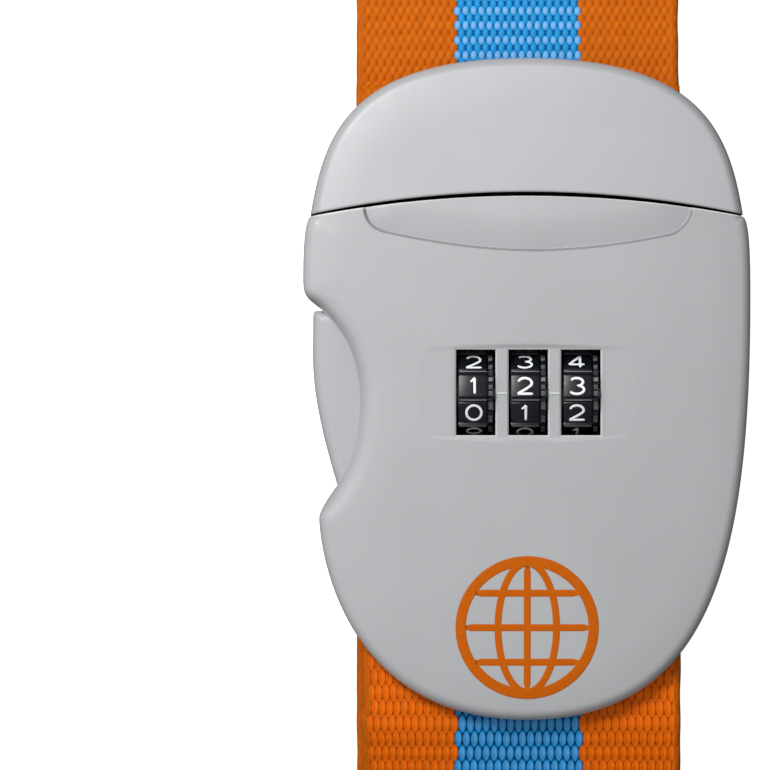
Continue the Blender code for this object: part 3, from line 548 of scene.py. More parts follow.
def tongue_sill(seam):
    """The wall's low part under the way out for the tongue plate."""
    front = seam[np.abs(seam[:, 0]) < TONGUE_HALF]
    count = len(front)
    corners = ((0, SHELL_LOW), (0, TONGUE_FROM), (WALL, TONGUE_FROM), (WALL, SHELL_LOW))
    levels = [np.column_stack([front - (0, y_in), np.full(count, z + BASE)]) for y_in, z in corners]
    faces = []
    for level in range(4):
        a, b = level * count, (level + 1) % 4 * count
        faces += [[a + i, a + i + 1, b + i + 1, b + i] for i in range(count - 1)]
    faces.append([0, count, 2 * count, 3 * count])
    faces.append([count - 1, 4 * count - 1, 3 * count - 1, 2 * count - 1])
    return np.vstack(levels), faces


def side_edge(right, seam, left):
    """The cover's outer edge as one chain, without the seam."""
    return np.vstack([left, right, seam[:1]])


def make_cover():
    right, seam, left = body_outline()
    outline = np.vstack([right, seam, left])
    side_chain = side_edge(right, seam, left)
    seam_chain = np.vstack([seam, left[:1]])
    centre = np.array([MIDDLE_X, -0.55])
    low = np.array([DIALS_X[0] - WINDOW_HALF - 0.55, WINDOW_LOW - 0.3])
    high = np.array([DIALS_X[2] + WINDOW_HALF + 0.55, WINDOW_HIGH + 0.1])
    inner = rectangle_ring(outline, centre, low, high)

    def height(ring):
        return cover_height(*ring.T, distance(ring, side_chain), distance(ring, seam_chain))

    x, y = outline.T
    rim = np.full(len(outline), SHELL_LOW)
    rim = np.where((np.abs(x) < WEB_MOUTH_HALF) & (y < -31), WEB_MOUTH_TOP, rim)
    rim = np.where((x < -23) & (y > -15.3) & (y < 12.6), BUTTON_HIGH + 0.3, rim)
    rim = np.where((np.abs(x) < TONGUE_HALF) & (y > 20), TONGUE_TO, rim)
    verts, faces = shell(outline, inner, ring_distances(28.0), height, rim)
    sill_verts, sill_faces = tongue_sill(seam)
    plate_verts, plate_faces, plate_looks = window_plate(low, high)
    for more_verts, more_faces in ((sill_verts, sill_faces), (plate_verts, plate_faces)):
        faces += [[i + len(verts) for i in f] for f in more_faces]
        verts = np.vstack([verts, more_verts])
    made = mesh_object("front_cover_skin", verts, faces, 32)
    tint_seam(made, len(right), len(right) + len(seam), len(outline))
    # The sill under the tongue's way out gets painted shade; the window plate brings its own looks
    looks = [PAINTED_SHADE] * len(sill_faces) + plate_looks
    for polygon, look in zip(made.data.polygons[-len(looks) :], looks):
        polygon.material_index = look
    return made


def window_plate(low, high):
    """Floor round the three windows, with chamfered window edges and painted index lines on the bars. All
    chamfers but the top one get a painted highlight, and the walls down into the windows painted shade.
    """
    verts, faces, looks = [], [], []
    top = RECESS_FLOOR + BASE
    deep = top - 2.4
    side = 0.24
    chamfer = top - 0.2

    def quad(a, b, c, d, look=0):
        n = len(verts)
        verts.extend([a, b, c, d])
        faces.append([n, n + 1, n + 2, n + 3])
        looks.append(look)

    def corners(x0, x1, y0, y1, z):
        return [(x0, y0, z), (x1, y0, z), (x1, y1, z), (x0, y1, z)]

    def slab(x0, x1, y0, y1, look=0):
        quad(*corners(x0, x1, y0, y1, top), look)

    y0, y1 = WINDOW_LOW - side, WINDOW_HIGH + 0.06
    x_low, x_high = low[0] - 0.02, high[0] + 0.02
    slab(x_low, x_high, low[1] - 0.02, y0)
    slab(x_low, x_high, y1, high[1] + 0.02)
    edges = [x_low]
    for x in DIALS_X:
        edges += [x - WINDOW_HALF - side, x + WINDOW_HALF + side]
    edges.append(x_high)
    slab(edges[0], edges[1], y0, y1)
    slab(edges[6], edges[7], y0, y1)
    for a, b in ((edges[2], edges[3]), (edges[4], edges[5])):
        mark_low, mark_high = DIAL_AXIS_Y - 0.13, DIAL_AXIS_Y + 0.22
        slab(a, b, y0, mark_low - 0.12)
        slab(a, b, mark_high, y1)
        slab(a, b, mark_low, mark_high, MARK)
        under = mark_low - 0.12
        quad((a, under, top), (b, under, top), (b, mark_low, top - 0.12), (a, mark_low, top - 0.12))
    for x in DIALS_X:
        edge = (x - WINDOW_HALF, x + WINDOW_HALF, WINDOW_LOW, WINDOW_HIGH)
        outer = corners(x - WINDOW_HALF - side, x + WINDOW_HALF + side, y0, y1, top)
        inner, bottom = corners(*edge, chamfer), corners(*edge, deep)
        for i in range(4):
            j = (i + 1) % 4
            # Painted highlight on every chamfer but the top one, painted shade on the wall below it
            quad(outer[i], outer[j], inner[j], inner[i], 0 if i == 2 else CHAMFER_HIGHLIGHT)
            quad(inner[i], inner[j], bottom[j], bottom[i], PAINTED_SHADE)
    return np.array(verts), faces, looks


def make_cap():
    outer, seam = cap_outline()
    outline = np.vstack([outer, seam])
    side_chain = np.vstack([outer, seam[:1]])
    seam_chain = np.vstack([seam, outer[:1]])
    centre = np.array([0.0, 38.5])
    inner = centre + (outline - centre) * 0.002

    def height(ring):
        side, near = distance(ring, side_chain), distance(ring, seam_chain)
        shoulder = 0.5 * np.clip(1 - side / SHOULDER, 0, 1) ** 2
        return crown(ring[:, 0], ring[:, 1]) - fall(side, EDGE_ROLL) - shoulder - fall(near, SEAM_ROLL)

    x, y = outline.T
    rim = np.where((np.abs(x) < WEB_MOUTH_HALF) & (y > 40), WEB_MOUTH_TOP, SHELL_LOW)
    rim = np.where((np.abs(x) < TONGUE_HALF) & (y < 34), TONGUE_TO, rim)
    verts, faces = shell(outline, inner, ring_distances(20.0), height, rim)
    made = mesh_object("cap_skin", verts, faces, 32)
    # Painted shade on the cap's wall in the seam
    for polygon in made.data.polygons[len(outer) : len(outline)]:
        polygon.material_index = PAINTED_SHADE
    # Painted shade along the cap's rounded outer edge, fading out between 0.8 and 1.5 mm in
    reach = distance(verts[:, :2], side_chain)
    rounded_edge_shade = made.data.attributes.new("rounded_edge_shade", "FLOAT", "POINT")
    rounded_edge_shade.data.foreach_set("value", (1 - step(reach - 1.15, 0.7)).astype(np.float32))
    return made


def make_button():
    outline = np.vstack([
        bezier([(-0.945, 0.236), (-0.956, 0.232), (-0.956, 0.225), (-0.956, 0.21)], 8),
        bezier([(-0.956, 0.21), (-0.956, 0.082), (-0.979, 0.005), (-0.85, -0.285)], 110),
        bezier([(-0.85, -0.285), (-0.848, -0.292), (-0.845, -0.295), (-0.83, -0.295)], 6),
        line((-0.83, -0.295), (-0.625, -0.295), 24),
        line((-0.625, -0.295), (-0.625, 0.236), 60),
        line((-0.625, 0.236), (-0.945, 0.236), 36),
    ])
    chain = np.vstack([outline, outline[:1]])
    centre = np.array([-25.6, -1.2])  # of the pad
    count = len(outline)
    verts = [np.column_stack([outline, np.full(count, BUTTON_LOW + BASE)])]
    faces = [list(reversed(range(count)))]
    for share in (0, 0.012, 0.03, 0.06, 0.1, 0.15, 0.2, 0.27, 0.35, 0.45, 0.55, 0.65, 0.75, 0.85, 0.95):
        ring = outline * (1 - share) + centre * share
        side = distance(ring, chain)
        roll = 0.5 * np.clip((-ring[:, 0] - 28.0) / 5.0, 0, 1) ** 2
        verts.append(np.column_stack([ring, BUTTON_HIGH - fall(side, 1.5) - roll + BASE]))
    for i in range(len(verts) - 1):
        faces += quad_band(i * count, (i + 1) * count, count)
    faces.append(list(range((len(verts) - 1) * count, len(verts) * count)))
    verts = np.vstack(verts)
    n = len(verts)
    ramp = [(-24.0, 4.6), (-18.4, 4.6), (-18.4, 5.2), (-20.6, 8.0), (-24.0, 8.0)]  # the latch's lifter
    arm = [(x, y, z + BASE) for y in (18.0, 8.0) for x, z in ramp]
    faces += [[n + 4, n + 3, n + 2, n + 1, n], [n + 5, n + 6, n + 7, n + 8, n + 9]]
    faces += [[n + i, n + (i + 1) % 5, n + 5 + (i + 1) % 5, n + 5 + i] for i in range(5)]
    return mesh_object("release_button_skin", np.vstack([verts, arm]), faces, 34)


# ---- dials


def facet(a):
    """(radius, angle from the nearest ridge) of a dial's face, which is nearly flat under each digit."""
    turn = ((a - READ_AT) * PLACES / (2 * math.pi)) % 1.0
    away = np.abs(turn - 0.5) * 2 * math.pi / PLACES
    flat = DIAL_RADIUS * math.cos(math.pi / PLACES) / np.cos(math.pi / PLACES - away)
    return DIAL_RADIUS + 0.75 * (flat - DIAL_RADIUS), away


def make_dial(index, x):
    """A dial with a low ridge between two digits and a knurled rim on its right."""
    sides = 720
    a = np.arange(sides) * 2 * math.pi / sides
    face, away = facet(a)
    ridge = RIDGE * np.clip(1.3 - away / 0.03, 0, 1)
    groove = -0.14 * np.clip(1 - np.abs(away - 0.055) / 0.02, 0, 1)
    knob = 0.3 * np.clip(0.5 + 0.9 * np.cos(RIMS * a), 0, 1) - 0.3
    left, right = x - DIAL_HALF, x + DIAL_HALF
    flange = right - 0.9
    rim = DIAL_RADIUS + RIDGE - 0.12
    faced, knurled, plain = face + ridge + groove, knob, np.zeros(sides)
    rings = [  # (x, size, what is added to it round the dial)
        (left, -0.35, faced), (left + 0.12, -0.06, faced), (left + 0.28, 0.0, faced),
        (flange - 0.3, 0.0, faced), (flange - 0.14, -0.08, faced),
        (flange - 0.06, -0.5, faced), (flange + 0.04, -0.5, faced),
        (flange + 0.14, rim - 0.08, knurled), (right - 0.16, rim, knurled),
        (right - 0.04, rim - 0.15, knurled),
        (right, rim - 0.4, plain), (right, DIAL_BORE, plain), (left, DIAL_BORE, plain),
    ]  # fmt: skip
    verts = []
    for at, size, added in rings:
        y = DIAL_AXIS_Y + (added + size) * np.cos(a)
        z = DIAL_AXIS_Z + BASE + (added + size) * np.sin(a)
        verts.append(np.column_stack([np.full(sides, at), y, z]))
    faces = []
    for i in range(len(rings)):
        faces += flipped(quad_band(i * sides, ((i + 1) % len(rings)) * sides, sides))
    made = mesh_object(f"number_dial_{index}_wheel", np.vstack(verts), faces, 30)
    # Painted highlights: a lighter grey on the ridges and on the knurls' tops
    for polygon in made.data.polygons:
        ring, place = divmod(polygon.index, sides)
        middle = (place + 0.5) * 2 * math.pi / sides
        if ring in (2, 3) and facet(middle)[1] < 0.012:
            polygon.material_index = RIDGE_HIGHLIGHT
        if ring == 7 and math.cos(RIMS * middle) > 0.7:
            polygon.material_index = KNURL_HIGHLIGHT
    return made


def arc(cx, cy, rx, ry, start, end, steps):
    a = np.radians(np.linspace(start, end, steps))
    return [(cx + rx * math.cos(t), cy + ry * math.sin(t)) for t in a]


def digit_strokes(digit):
    """Strokes of a plain numeral in a box one unit wide and high."""
    return {
        0: [arc(0.5, 0.5, 0.46, 0.5, 90, 450, 36)],
        1: [[(0.28, 0.76), (0.42, 0.86), (0.54, 1.0), (0.54, 0.5), (0.54, 0.0)]],
        2: [
            arc(0.48, 0.68, 0.42, 0.32, 165, -28, 18)
            + [(0.6, 0.34), (0.3, 0.16), (0.04, 0.0), (0.5, 0.0), (0.96, 0.0)]
        ],
        3: [arc(0.47, 0.745, 0.39, 0.255, 155, -80, 16) + arc(0.47, 0.26, 0.45, 0.27, 80, -155, 18)],
        4: [[(0.96, 0.28), (0.5, 0.28), (0.03, 0.28), (0.36, 0.64), (0.7, 1.0), (0.7, 0.5), (0.7, 0.0)]],
        5: [[(0.9, 1), (0.5, 1), (0.16, 1), (0.1, 0.56)] + arc(0.48, 0.33, 0.44, 0.33, 125, -150, 20)],
        6: [[(0.72, 1.0), (0.42, 0.78)] + arc(0.48, 0.33, 0.42, 0.33, 150, 510, 34)],
        7: [[(0.05, 1.0), (0.5, 1.0), (0.95, 1.0), (0.62, 0.5), (0.34, 0.0)]],
        8: [arc(0.5, 0.755, 0.34, 0.245, 0, 360, 26), arc(0.5, 0.26, 0.44, 0.265, 0, 360, 30)],
        9: [[(0.28, 0.0), (0.58, 0.22)] + arc(0.52, 0.67, 0.42, 0.33, -30, 330, 34)],
    }[digit]


def run_along(points):
    """Distance gone at each point of a path."""
    return np.concatenate([[0], np.cumsum(np.linalg.norm(np.diff(points, axis=0), axis=1))])


def resample(points, spacing):
    """Even points along a path, with repeated ones dropped."""
    points = np.array(points, float)
    seg = np.linalg.norm(np.diff(points, axis=0), axis=1)
    points = points[np.concatenate([[True], seg > 1e-6])]
    run = run_along(points)
    count = max(2, int(run[-1] / spacing) + 1)
    at = np.linspace(0, run[-1], count)
    return np.column_stack([np.interp(at, run, points[:, i]) for i in range(points.shape[1])])


def ribbon_along(points, half, place, lift, verts, faces):
    """Adds a rounded raised stroke along 2-D points, laid on a surface by place(x, y, up)."""
    way = np.gradient(points, axis=0)
    closed = np.linalg.norm(points[0] - points[-1]) < 1e-6
    if closed:
        way[0] = way[-1] = points[1] - points[-2]
    way /= np.maximum(np.linalg.norm(way, axis=1), 1e-9)[:, None]
    side = np.column_stack([-way[:, 1], way[:, 0]])
    profile = [(-1.0, -0.6), (-0.92, 0.45), (-0.6, 0.9), (0.0, 1.0), (0.6, 0.9), (0.92, 0.45), (1.0, -0.6)]
    ends = np.ones(len(points))
    taper = 0 if closed else min(2, len(points) // 2)
    if taper:
        ends[:taper] = np.linspace(0.62, 1, taper + 1)[:taper]
        ends[-taper:] = np.linspace(1, 0.62, taper + 1)[1:]
    start = len(verts)
    for p, s, e in zip(points, side, ends):
        for across, up in profile:
            at = p + s * across * half * e
            verts.append(place(at[0], at[1], up * lift))
    n = len(profile)
    for i in range(len(points) - 1):
        faces += quad_band(start + i * n, start + (i + 1) * n, n)
    if not closed:
        faces.append([start + j for j in range(n)])
        faces.append([start + (len(points) - 1) * n + n - 1 - j for j in range(n)])


def make_digits(index, x):
    """White numerals wrapped round a dial. The digit that is read is the dial's own number."""
    verts, faces = [], []
    width, tall = 2.5, 2.52
    middle = x - (0.27, 0.47, 0.57)[index - 1]
    for k in range(PLACES):
        digit = (index + k) % PLACES
        angle = READ_AT - 2 * math.pi * k / PLACES

        def place(u, v, up, angle=angle):
            a = angle - v / DIAL_RADIUS
            r = facet(a)[0] + up
            return (middle + u, DIAL_AXIS_Y + r * math.cos(a), DIAL_AXIS_Z + BASE + r * math.sin(a))

        for stroke in digit_strokes(digit):
            points = resample([((a - 0.5) * width, (b - 0.5) * tall) for a, b in stroke], 0.14)
            ribbon_along(points, 0.21, place, 0.05, verts, faces)
    return mesh_object(f"number_dial_{index}_digits", verts, faces)


# ---- print, and the painted shade along the crescent recess


def make_print(height):
    """A plain line globe, printed where the buckle carries its mark."""
    verts, faces = [], []
    cx, cy, r = GLOBE_X, GLOBE_Y, GLOBE_RADIUS

    def place(x, y, up):
        return (x, y, height(np.array([[x, y]]))[0] + BASE + 0.012 + up)

    inside = r - 0.7
    strokes = [
        arc(cx, cy, r, r, 0, 360, 120),
        arc(cx, cy, r * 0.44, r - 0.3, 0, 360, 90),
        [(cx - inside, cy), (cx, cy), (cx + inside, cy)],
        [(cx, cy - inside), (cx, cy), (cx, cy + inside)],
    ]
    for side in (-1, 1):
        y = cy + side * r * 0.52
        half = math.sqrt(r * r - (y - cy) ** 2) - 0.75
        strokes.append([(cx - half, y), (cx, y), (cx + half, y)])
    for i, stroke in enumerate(strokes):
        half = 0.8 if i == 0 else 0.55
        ribbon_along(resample(stroke, 0.5), half, place, 0.02 + 0.002 * i, verts, faces)
    return mesh_object("printed_globe", verts, faces)


def make_dish_shade_line(height):
    """A dark grey ribbon along the crescent recess's edge: painted shade for the step there."""
    x = np.linspace(-22.5, 22.7, 160)
    low = np.column_stack([x, dish_edge(x)])
    y = np.linspace(24.55, 27.3, 10)
    right = np.column_stack([0.1 + dish_side(y), y])
    left = np.column_stack([0.1 - dish_side(y), y])[::-1]
    path = np.vstack([left, low, right])
    for _ in range(3):
        path[1:-1] = (path[:-2] + 2 * path[1:-1] + path[2:]) / 4
    verts, faces = [], []

    def place(px, py, up):
        return (px, py, height(np.array([[px, py]]))[0] + BASE + 0.02 + up)

    ribbon_along(resample(path, 0.3), 0.17, place, 0.02, verts, faces)
    return mesh_object("painted_dish_groove_line", verts, faces)


# ---- webbing


def smooth_path(points):
    """Dense points through the path, its corners eased a little."""
    dense = resample(points, 0.5)
    kernel = np.ones(7) / 7
    eased = dense.copy()
    for i in range(2):
        padded = np.concatenate([np.full(3, dense[0, i]), dense[:, i], np.full(3, dense[-1, i])])
        eased[:, i] = np.convolve(padded, kernel, mode="valid")
    eased[0], eased[-1] = dense[0], dense[-1]
    return eased


def bend(y, z, radius, start, end, steps):
    """Points (y, z) of a bend round a centre, between two angles in degrees."""
    a = np.radians(np.linspace(start, end, steps + 1))
    return [(y + radius * math.cos(t), z + radius * math.sin(t)) for t in a]


def weave_relief(u, s, weave):
    """Relief of the floats, the same pattern as the material's."""
    row, reach_one, reach_two, second_height = weave

    def family(shift, reach):
        across = np.mod(u / COLUMN + shift, 1) - 0.5
        along = np.mod(s / row + shift, 1) - 0.5
        return 1 - (across * COLUMN / FLOAT_HALF) ** 2 - (along * row / reach) ** 2

    high = np.maximum(family(0.0, reach_one), second_height * family(0.5, reach_two))
    return np.clip(high, 0, 1) ** 0.6


def web_strip(name, path, fine_from, fine_to, weave=CLOSE_WEAVE, tuck=0.0):
    """(strip, its length), along a path of (y, z), with relief in the mesh where it is seen closely."""
    path = np.array(path, float)
    run = run_along(path)
    total = run[-1]
    at = [0.0]
    while at[-1] < total:
        at.append(at[-1] + (0.33 if fine_from <= at[-1] <= fine_to else 1.6))
    at[-1] = total
    at = np.array(at)
    line_y = np.interp(at, run, path[:, 0])
    line_z = np.interp(at, run, path[:, 1])
    way = np.column_stack([np.gradient(line_y, at), np.gradient(line_z, at)])
    way /= np.linalg.norm(way, axis=1)[:, None]
    normal = np.column_stack([-way[:, 1], way[:, 0]])
    turn = np.abs(np.gradient(np.unwrap(np.arctan2(way[:, 1], way[:, 0])), at))
    calm = np.clip(1 - turn / 0.35, 0, 1)
    fine = ((at >= fine_from) & (at <= fine_to)).astype(float) * calm
    u = np.linspace(-WEB_HALF, WEB_HALF, 282)
    edge = np.clip((WEB_HALF - np.abs(u)) / 0.8, 0, 1)
    half = WEB_THICK / 2 * (0.35 + 0.65 * np.sqrt(1 - (1 - edge) ** 2))
    selvedge = np.clip((24.0 - np.abs(u)) / 0.4, 0, 1)
    rows, columns = len(at), len(u)
    uu, ss = np.meshgrid(u, at)
    wobble = 0.05 * np.sin(ss / 3.1 + 0.7) + 0.04 * np.sin(ss / 1.17)
    top_relief = RELIEF * (weave_relief(uu, ss, weave) - 1) * selvedge * fine[:, None]
    low_relief = RELIEF * (weave_relief(uu + COLUMN / 2, ss, weave) - 1) * selvedge * fine[:, None]
    narrow = tuck * fine[:, None] * np.clip(-uu / WEB_HALF, 0, 1) ** 3
    x = WEB_MIDDLE + uu + narrow + wobble * (np.abs(uu) / WEB_HALF) * np.sign(uu)
    verts = []
    for out in (half[None, :] + top_relief, -(half[None, :] + low_relief)):
        y = line_y[:, None] + normal[:, 0, None] * out
        z = line_z[:, None] + normal[:, 1, None] * out
        verts.append(np.stack([x, y, z], axis=2).reshape(-1, 3))
    verts = np.vstack(verts)
    n = rows * columns
    r = np.arange(rows - 1) * columns
    c = np.arange(columns - 1)
    a = (r[:, None] + c).ravel()
    e, d = r + columns - 1, n - columns + c
    sides = (
        (a, a + 1, a + columns + 1, a + columns),
        (a + n, a + columns + n, a + columns + 1 + n, a + 1 + n),
        (r, r + columns, r + columns + n, r + n),
        (e, e + n, e + columns + n, e + columns),
        (c, c + n, c + 1 + n, c + 1),
        (d, d + 1, d + 1 + n, d + n),
    )
    faces = np.vstack([np.stack(side, axis=1) for side in sides])
    made = mesh_object(name, verts, faces.tolist())
    layer = made.data.uv_layers.new(name="weave")
    flat = np.tile(np.column_stack([uu.ravel(), ss.ravel()]), (2, 1))
    layer.data.foreach_set("uv", flat[faces.ravel()].ravel())
    return made, total


def upper_path():
    """From the sewn end, round the cap's bar and down to the hank's first fold."""
    bar = BASE + 7.5
    radius = 3.1
    low = bar - radius
    level = HANK_TOP + 0.3 + WEB_THICK / 2
    end = HANK_HALF - WEB_THICK / 2 - PITCH / 2
    path = [(47.0, low + PITCH), (44.4, low + PITCH + 0.1)]
    path += bend(40.0, bar, radius, 55, 270, 14)
    path += [(46.0, low), (52.0, low - 0.4), (64.0, level + 0.9), (74.0, level)]
    path += bend(end, level - PITCH / 2, PITCH / 2, 90, -90, 10)
    return path


def lower_paths():
    """(middle sheet, lower sheet, height of the leg's middle): the hank's layers, the leg and the tail."""
    fold = PITCH / 2
    near = HANK_HALF - WEB_THICK / 2 - fold
    outer_low = WEB_THICK / 2
    level = HANK_TOP + 0.3 + 1.0 + 0.3 + WEB_THICK / 2
    outer = (level - outer_low) / 2
    outer_y = -(HANK_HALF - WEB_THICK / 2 - outer)
    inner = outer_y + 1.0
    top = HANK_TOP - WEB_THICK / 2
    first = [(near - 0.3, top), (inner + 0.6, top)]
    rest = bend(inner, top - fold, fold, 110, 270, 8)
    rest[0] = (inner - 0.25, top)
    rest += bend(near, top - PITCH - fold, fold, 90, -90, 8)
    rest += bend(inner, top - 2 * PITCH - fold, fold, 90, 270, 8)
    rest += bend(near, top - 3 * PITCH - fold, fold, 90, -90, 8)
    rest += bend(outer_y, outer_low + outer, outer, 270, 90, 16)
    bar = BASE + 7.2
    radius = 3.3
    rest += [(-74.0, level), (-64.0, level + 0.3), (-54.0, bar - radius - 0.1), (-48.0, bar - radius)]
    rest += bend(-27.0, bar, radius, -90, 90, 14)
    high = level + PITCH
    rest += [(-46.0, bar + radius), (-52.0, bar + radius - 0.3), (-68.0, high + 0.7), (-75.0, high)]
    rest += [(-138.0, high), (-140.0, high + 0.2)]
    rest += bend(-140.0, high + 0.2 + fold, fold, 270, 90, 8)
    rest += [(-136.0, high + PITCH), (-120.0, high + PITCH)]
    return first, rest, level


def make_keeper(level):
    """Moulded rubber loop round the leg and the tail, ribbed across."""
    inner_low = level - WEB_THICK / 2 - 0.3
    inner_high = level + PITCH + WEB_THICK / 2 + 0.3
    x0, x1 = WEB_MIDDLE - 25.3, WEB_MIDDLE + 25.3
    y0, y1 = -91.0, -77.0
    along = np.linspace(y0, y1, 57)
    rib = 0.13 * (0.5 + 0.5 * np.cos((along - y0) * 2 * math.pi / 1.75)) - 0.13
    ends = np.clip(np.minimum(along - y0, y1 - along) / 0.5, 0, 1)

    def loop(low_x, low_z, high_x, high_z, radius):
        points = bend(high_x - radius, low_z + radius, radius, -90, 0, 7)
        points += bend(high_x - radius, high_z - radius, radius, 0, 90, 7)
        points += bend(low_x + radius, high_z - radius, radius, 90, 180, 7)
        points += bend(low_x + radius, low_z + radius, radius, 180, 270, 7)
        return np.array(points)

    outer = loop(x0 - 1.0, inner_low - 1.0, x1 + 1.0, inner_high + 1.0, 1.3)
    inner = loop(x0, inner_low, x1, inner_high, 0.3)
    middle = outer.mean(0)
    outward = np.sign(outer - middle)
    rings = [(y, outer + (r - 0.25 * (1 - e)) * outward) for y, r, e in zip(along, rib, ends)]
    rings += [(y1, inner), (y0, inner)]
    verts = [np.column_stack([ring[:, 0], np.full(len(ring), y), ring[:, 1]]) for y, ring in rings]
    count = len(outer)
    faces = []
    for i in range(len(verts)):
        faces += quad_band(i * count, ((i + 1) % len(verts)) * count, count)
    return mesh_object("tail_keeper_loop", np.vstack(verts), faces, 50)


def make_stitches(name, rows, z, pitch):
    """Short thread stitches, each a bent capsule, along rows from a start to an end."""
    verts, faces = [], []
    along, sides = 7, 8
    for (xa, ya), (xb, yb) in rows:
        length = math.hypot(xb - xa, yb - ya)
        count = int(length / pitch)
        dx, dy = (xb - xa) / length, (yb - ya) / length
        for i in range(count):
            centre = (i + 0.5) * length / count
            base = len(verts)
            for j in range(along):
                off = j / (along - 1) - 0.5
                t = off * pitch * 0.74
                sink = 0.16 * (2 * abs(off)) ** 2
                r = 0.2 * math.sqrt(max(0.12, 1 - (2 * abs(off)) ** 4))
                px = xa + dx * (centre + t)
                py = ya + dy * (centre + t)
                for q in range(sides):
                    b = 2 * math.pi * q / sides
                    out, up = r * math.cos(b), r * math.sin(b)
                    verts.append((px - dy * out, py + dx * out, z - sink + up))
            for j in range(along - 1):
                faces += quad_band(base + j * sides, base + (j + 1) * sides, sides)
            faces.append([base + q for q in reversed(range(sides))])
            faces.append([base + (along - 1) * sides + q for q in range(sides)])
    return mesh_object(name, verts, faces)


# ---- studio


def key_light(place, aim, size, power):
    data = bpy.data.lights.new("key", "AREA")
    data.shape = "DISK"
    data.size = size
    data.energy = power
    made = link("key", data)
    made.location = place
    way = Vector([a - b for a, b in zip(aim, place)])
    made.rotation_euler = way.to_track_quat("-Z", "Y").to_euler()
    made.visible_camera = False


def make_studio():
    """Pale room, brighter above and at the back left, one soft key light, a floor, and the camera."""
    scene = bpy.context.scene
    scene.view_settings.view_transform = "Standard"
    world = bpy.data.worlds.new("studio")
    world.use_nodes = True
    scene.world = world
    tree = world.node_tree
    back = tree.nodes["Background"]
    around = tree.nodes.new("ShaderNodeTexCoord")
    lean = tree.nodes.new("ShaderNodeVectorMath")
    lean.operation = "DOT_PRODUCT"
    lean.inputs[1].default_value = (-0.35, 0.22, 0.9)
    tree.links.new(around.outputs["Generated"], lean.inputs[0])
    blend = tree.nodes.new("ShaderNodeMapRange")
    tree.links.new(lean.outputs["Value"], blend.inputs[0])
    for socket, value in zip(blend.inputs[1:5], (-0.1, 0.95, 0.08, 0.66)):
        socket.default_value = value
    tree.links.new(blend.outputs[0], back.inputs["Strength"])
    back.inputs["Color"].default_value = (0.985, 0.99, 1, 1)
    key_light(place=(-0.2, 0.23, 0.4), aim=(0, 0, 0.02), size=0.17, power=1.75)
    bpy.ops.mesh.primitive_plane_add(size=6, location=(0, 0, -0.0002))
    floor = bpy.context.active_object
    floor.name = "floor"
    g = Graph("floor_pale")
    g.set(colour=(0.93, 0.93, 0.93), rough=0.9, specular=0.1)
    g.shader.inputs["Emission Color"].default_value = (1, 1, 1, 1)
    g.shader.inputs["Emission Strength"].default_value = 0.85
    floor.data.materials.append(g.material)
    floor.visible_diffuse = False
    floor.visible_glossy = False
    camera_data = bpy.data.cameras.new("camera")
    camera_data.lens = LENS
    camera_data.sensor_width = SENSOR
    camera_data.clip_end = 20
    camera = link("camera", camera_data)
    in_view = (BASE + FACE - 3.0) * MM  # height at which the picture is VIEW_SIDE across
    camera.location = (-0.0218, 0.0006, in_view + VIEW_SIDE * LENS / SENSOR)
    scene.camera = camera


def dress(name, material):
    """Gives a CAD node that still shows its material."""
    if NODES[name].data.materials:
        for slot in NODES[name].material_slots:
            slot.link = "OBJECT"
            slot.material = material
    else:
        NODES[name].data.materials.append(material)


def attach(piece, looks, body, node=None):
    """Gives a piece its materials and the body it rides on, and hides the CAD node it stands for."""
    for look in looks:
        piece.data.materials.append(look)
    if body:
        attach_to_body(piece, body)
    if node:
        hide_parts(node)


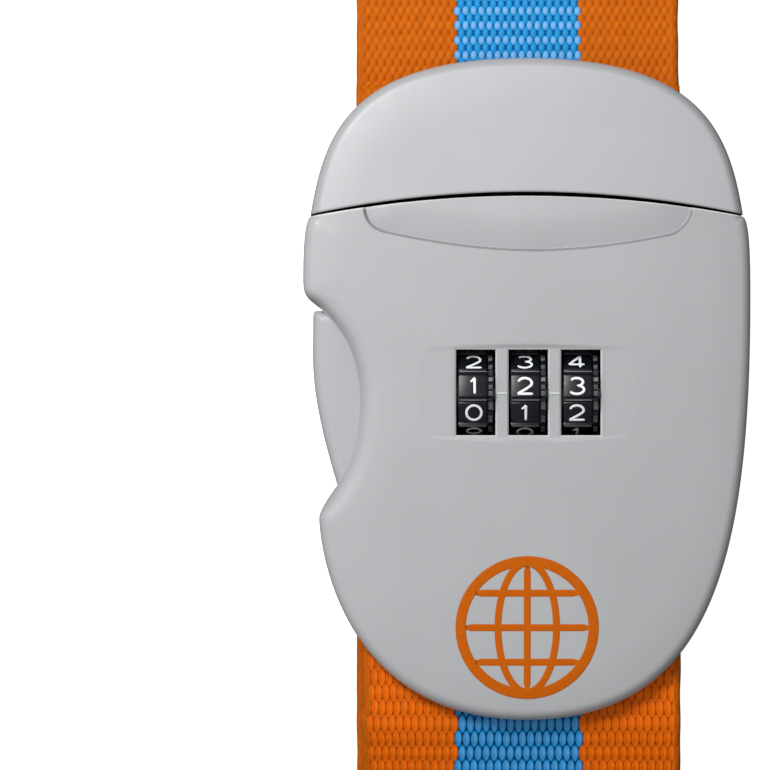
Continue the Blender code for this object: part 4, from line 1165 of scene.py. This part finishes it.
def main():
    make_studio()
    shell_look = moulded("satin_grey_shell", (0.445, 0.45, 0.462))
    button_look = moulded("satin_grey_button", (0.435, 0.44, 0.455), 0.44)
    # The cap's rounded edge is darkened as painted shade
    cap_look = moulded("satin_grey_cap", (0.482, 0.487, 0.5), 0.42, edge_shade_tone=0.83)
    # Lighter grey: painted highlight on the window chamfers
    chamfer_light_look = moulded("painted_window_chamfer_highlight", (0.56, 0.57, 0.58), 0.35)
    # Lighter grey: painted highlight on the seam's arris
    arris = moulded("painted_seam_arris_highlight", (0.82, 0.83, 0.84), 0.3)
    mint = paint("pale_index_paint", (0.62, 0.72, 0.67), 0.4)
    # Dark grey for the painted shade along the crescent recess's edge
    dish_shade_look = moulded("painted_dish_groove_shade", (0.27, 0.276, 0.28), 0.5)
    back_look = moulded("matt_grey_back", (0.4, 0.405, 0.42), 0.5, 0.2)
    # Near-black: painted shade on the seam walls, the sill and the window walls, and the colour of the
    # dark inner parts
    shade_and_inner_look = moulded("painted_shade_and_dark_inner", (0.02, 0.02, 0.022), 0.6, 0.2)
    black = gloss_black("gloss_black_dial")
    # Lighter greys: painted highlights on the dials' ridges and knurls
    ridge_highlight_look = moulded("painted_ridge_highlight", (0.22, 0.222, 0.23), 0.35)
    knurl_highlight_look = moulded("painted_knurl_highlight", (0.08, 0.082, 0.09), 0.4)
    white = paint("white_ink", (0.97, 0.98, 0.99), 0.4)
    orange_ink = paint("orange_ink", (0.60, 0.12, 0.0003), 0.55, 0.1)
    steel = metal("plated_steel", (0.6, 0.6, 0.61), 0.28)
    brass = metal("darkened_brass", (0.13, 0.1, 0.055), 0.5)
    web = webbing("woven_webbing", CLOSE_WEAVE)
    long_web = webbing("woven_webbing_long", LONG_WEAVE)
    thread = paint("orange_thread", (0.6, 0.15, 0.01), 0.6)
    black_rubber = rubber("black_rubber")

    cover_looks = (shell_look, shade_and_inner_look, chamfer_light_look, mint, arris)
    attach(make_cover(), cover_looks, "housing", "front_cover")
    attach(make_cap(), (cap_look, shade_and_inner_look), "tongue", "cap_front")
    attach(make_button(), (button_look,), "release_button", "release_button")
    for i, x in enumerate(DIALS_X, 1):
        attach(make_dial(i, x), (black, ridge_highlight_look, knurl_highlight_look), f"dial_{i}", f"number_dial_{i}")
        attach(make_digits(i, x), (white,), f"dial_{i}")

    side_chain = side_edge(*body_outline())

    def surface_height(point):
        return cover_height(*point.T, distance(point, side_chain), np.full(len(point), 9.0))

    attach(make_print(surface_height), (orange_ink,), "housing")
    # A ribbon of painted shade along the crescent recess's edge
    attach(make_dish_shade_line(surface_height), (dish_shade_look,), "housing")

    upper, upper_length = web_strip("webbing_upper_weave", smooth_path(upper_path()), 20.0, 110.0)
    attach(upper, (web,), "tongue", "webbing_upper")

    first, rest, level = lower_paths()
    middle, middle_length = web_strip("webbing_middle_weave", first, *NO_RELIEF)
    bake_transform(middle)
    attach(middle, (web,), None, "webbing_middle")

    rest = smooth_path(rest)
    total = run_along(rest)[-1]
    lower, lower_length = web_strip("webbing_lower_weave", rest, total - 260.0, total, LONG_WEAVE, 1.1)
    attach(lower, (long_web,), "housing", "webbing_lower")
    attach(make_keeper(level), (black_rubber,), "housing", "tail_keeper")

    hem = level + 2 * PITCH + WEB_THICK / 2 + 0.02
    left, right = WEB_MIDDLE - 22.0, WEB_MIDDLE + 22.0
    top, low = -122.5, -134.0
    rows = [
        ((left, top), (right, top)),
        ((left, low), (right, low)),
        ((left, top), (left, low)),
        ((right, top), (right, low)),
    ]
    stitches = make_stitches("tail_hem_stitching", rows, hem, 2.2)
    attach(stitches, (thread,), "housing")

    dress("back_cover", back_look)
    dress("cap_back", back_look)
    for name in NODES:
        if name.startswith(("housing_screw", "cap_screw", "latch", "button_spring", "reset_spring")):
            dress(name, steel)
        if name.startswith("code_sleeve"):
            dress(name, brass)
    for name in ("cap_bar", "gripping_bar", "toothed_shaft", "detent_comb"):
        dress(name, steel)
    dress("tongue_plate", metal("blackened_steel", (0.022, 0.022, 0.024), 0.55))
    for name in ("dial_carrier", "reset_slide"):
        dress(name, shade_and_inner_look)


main()
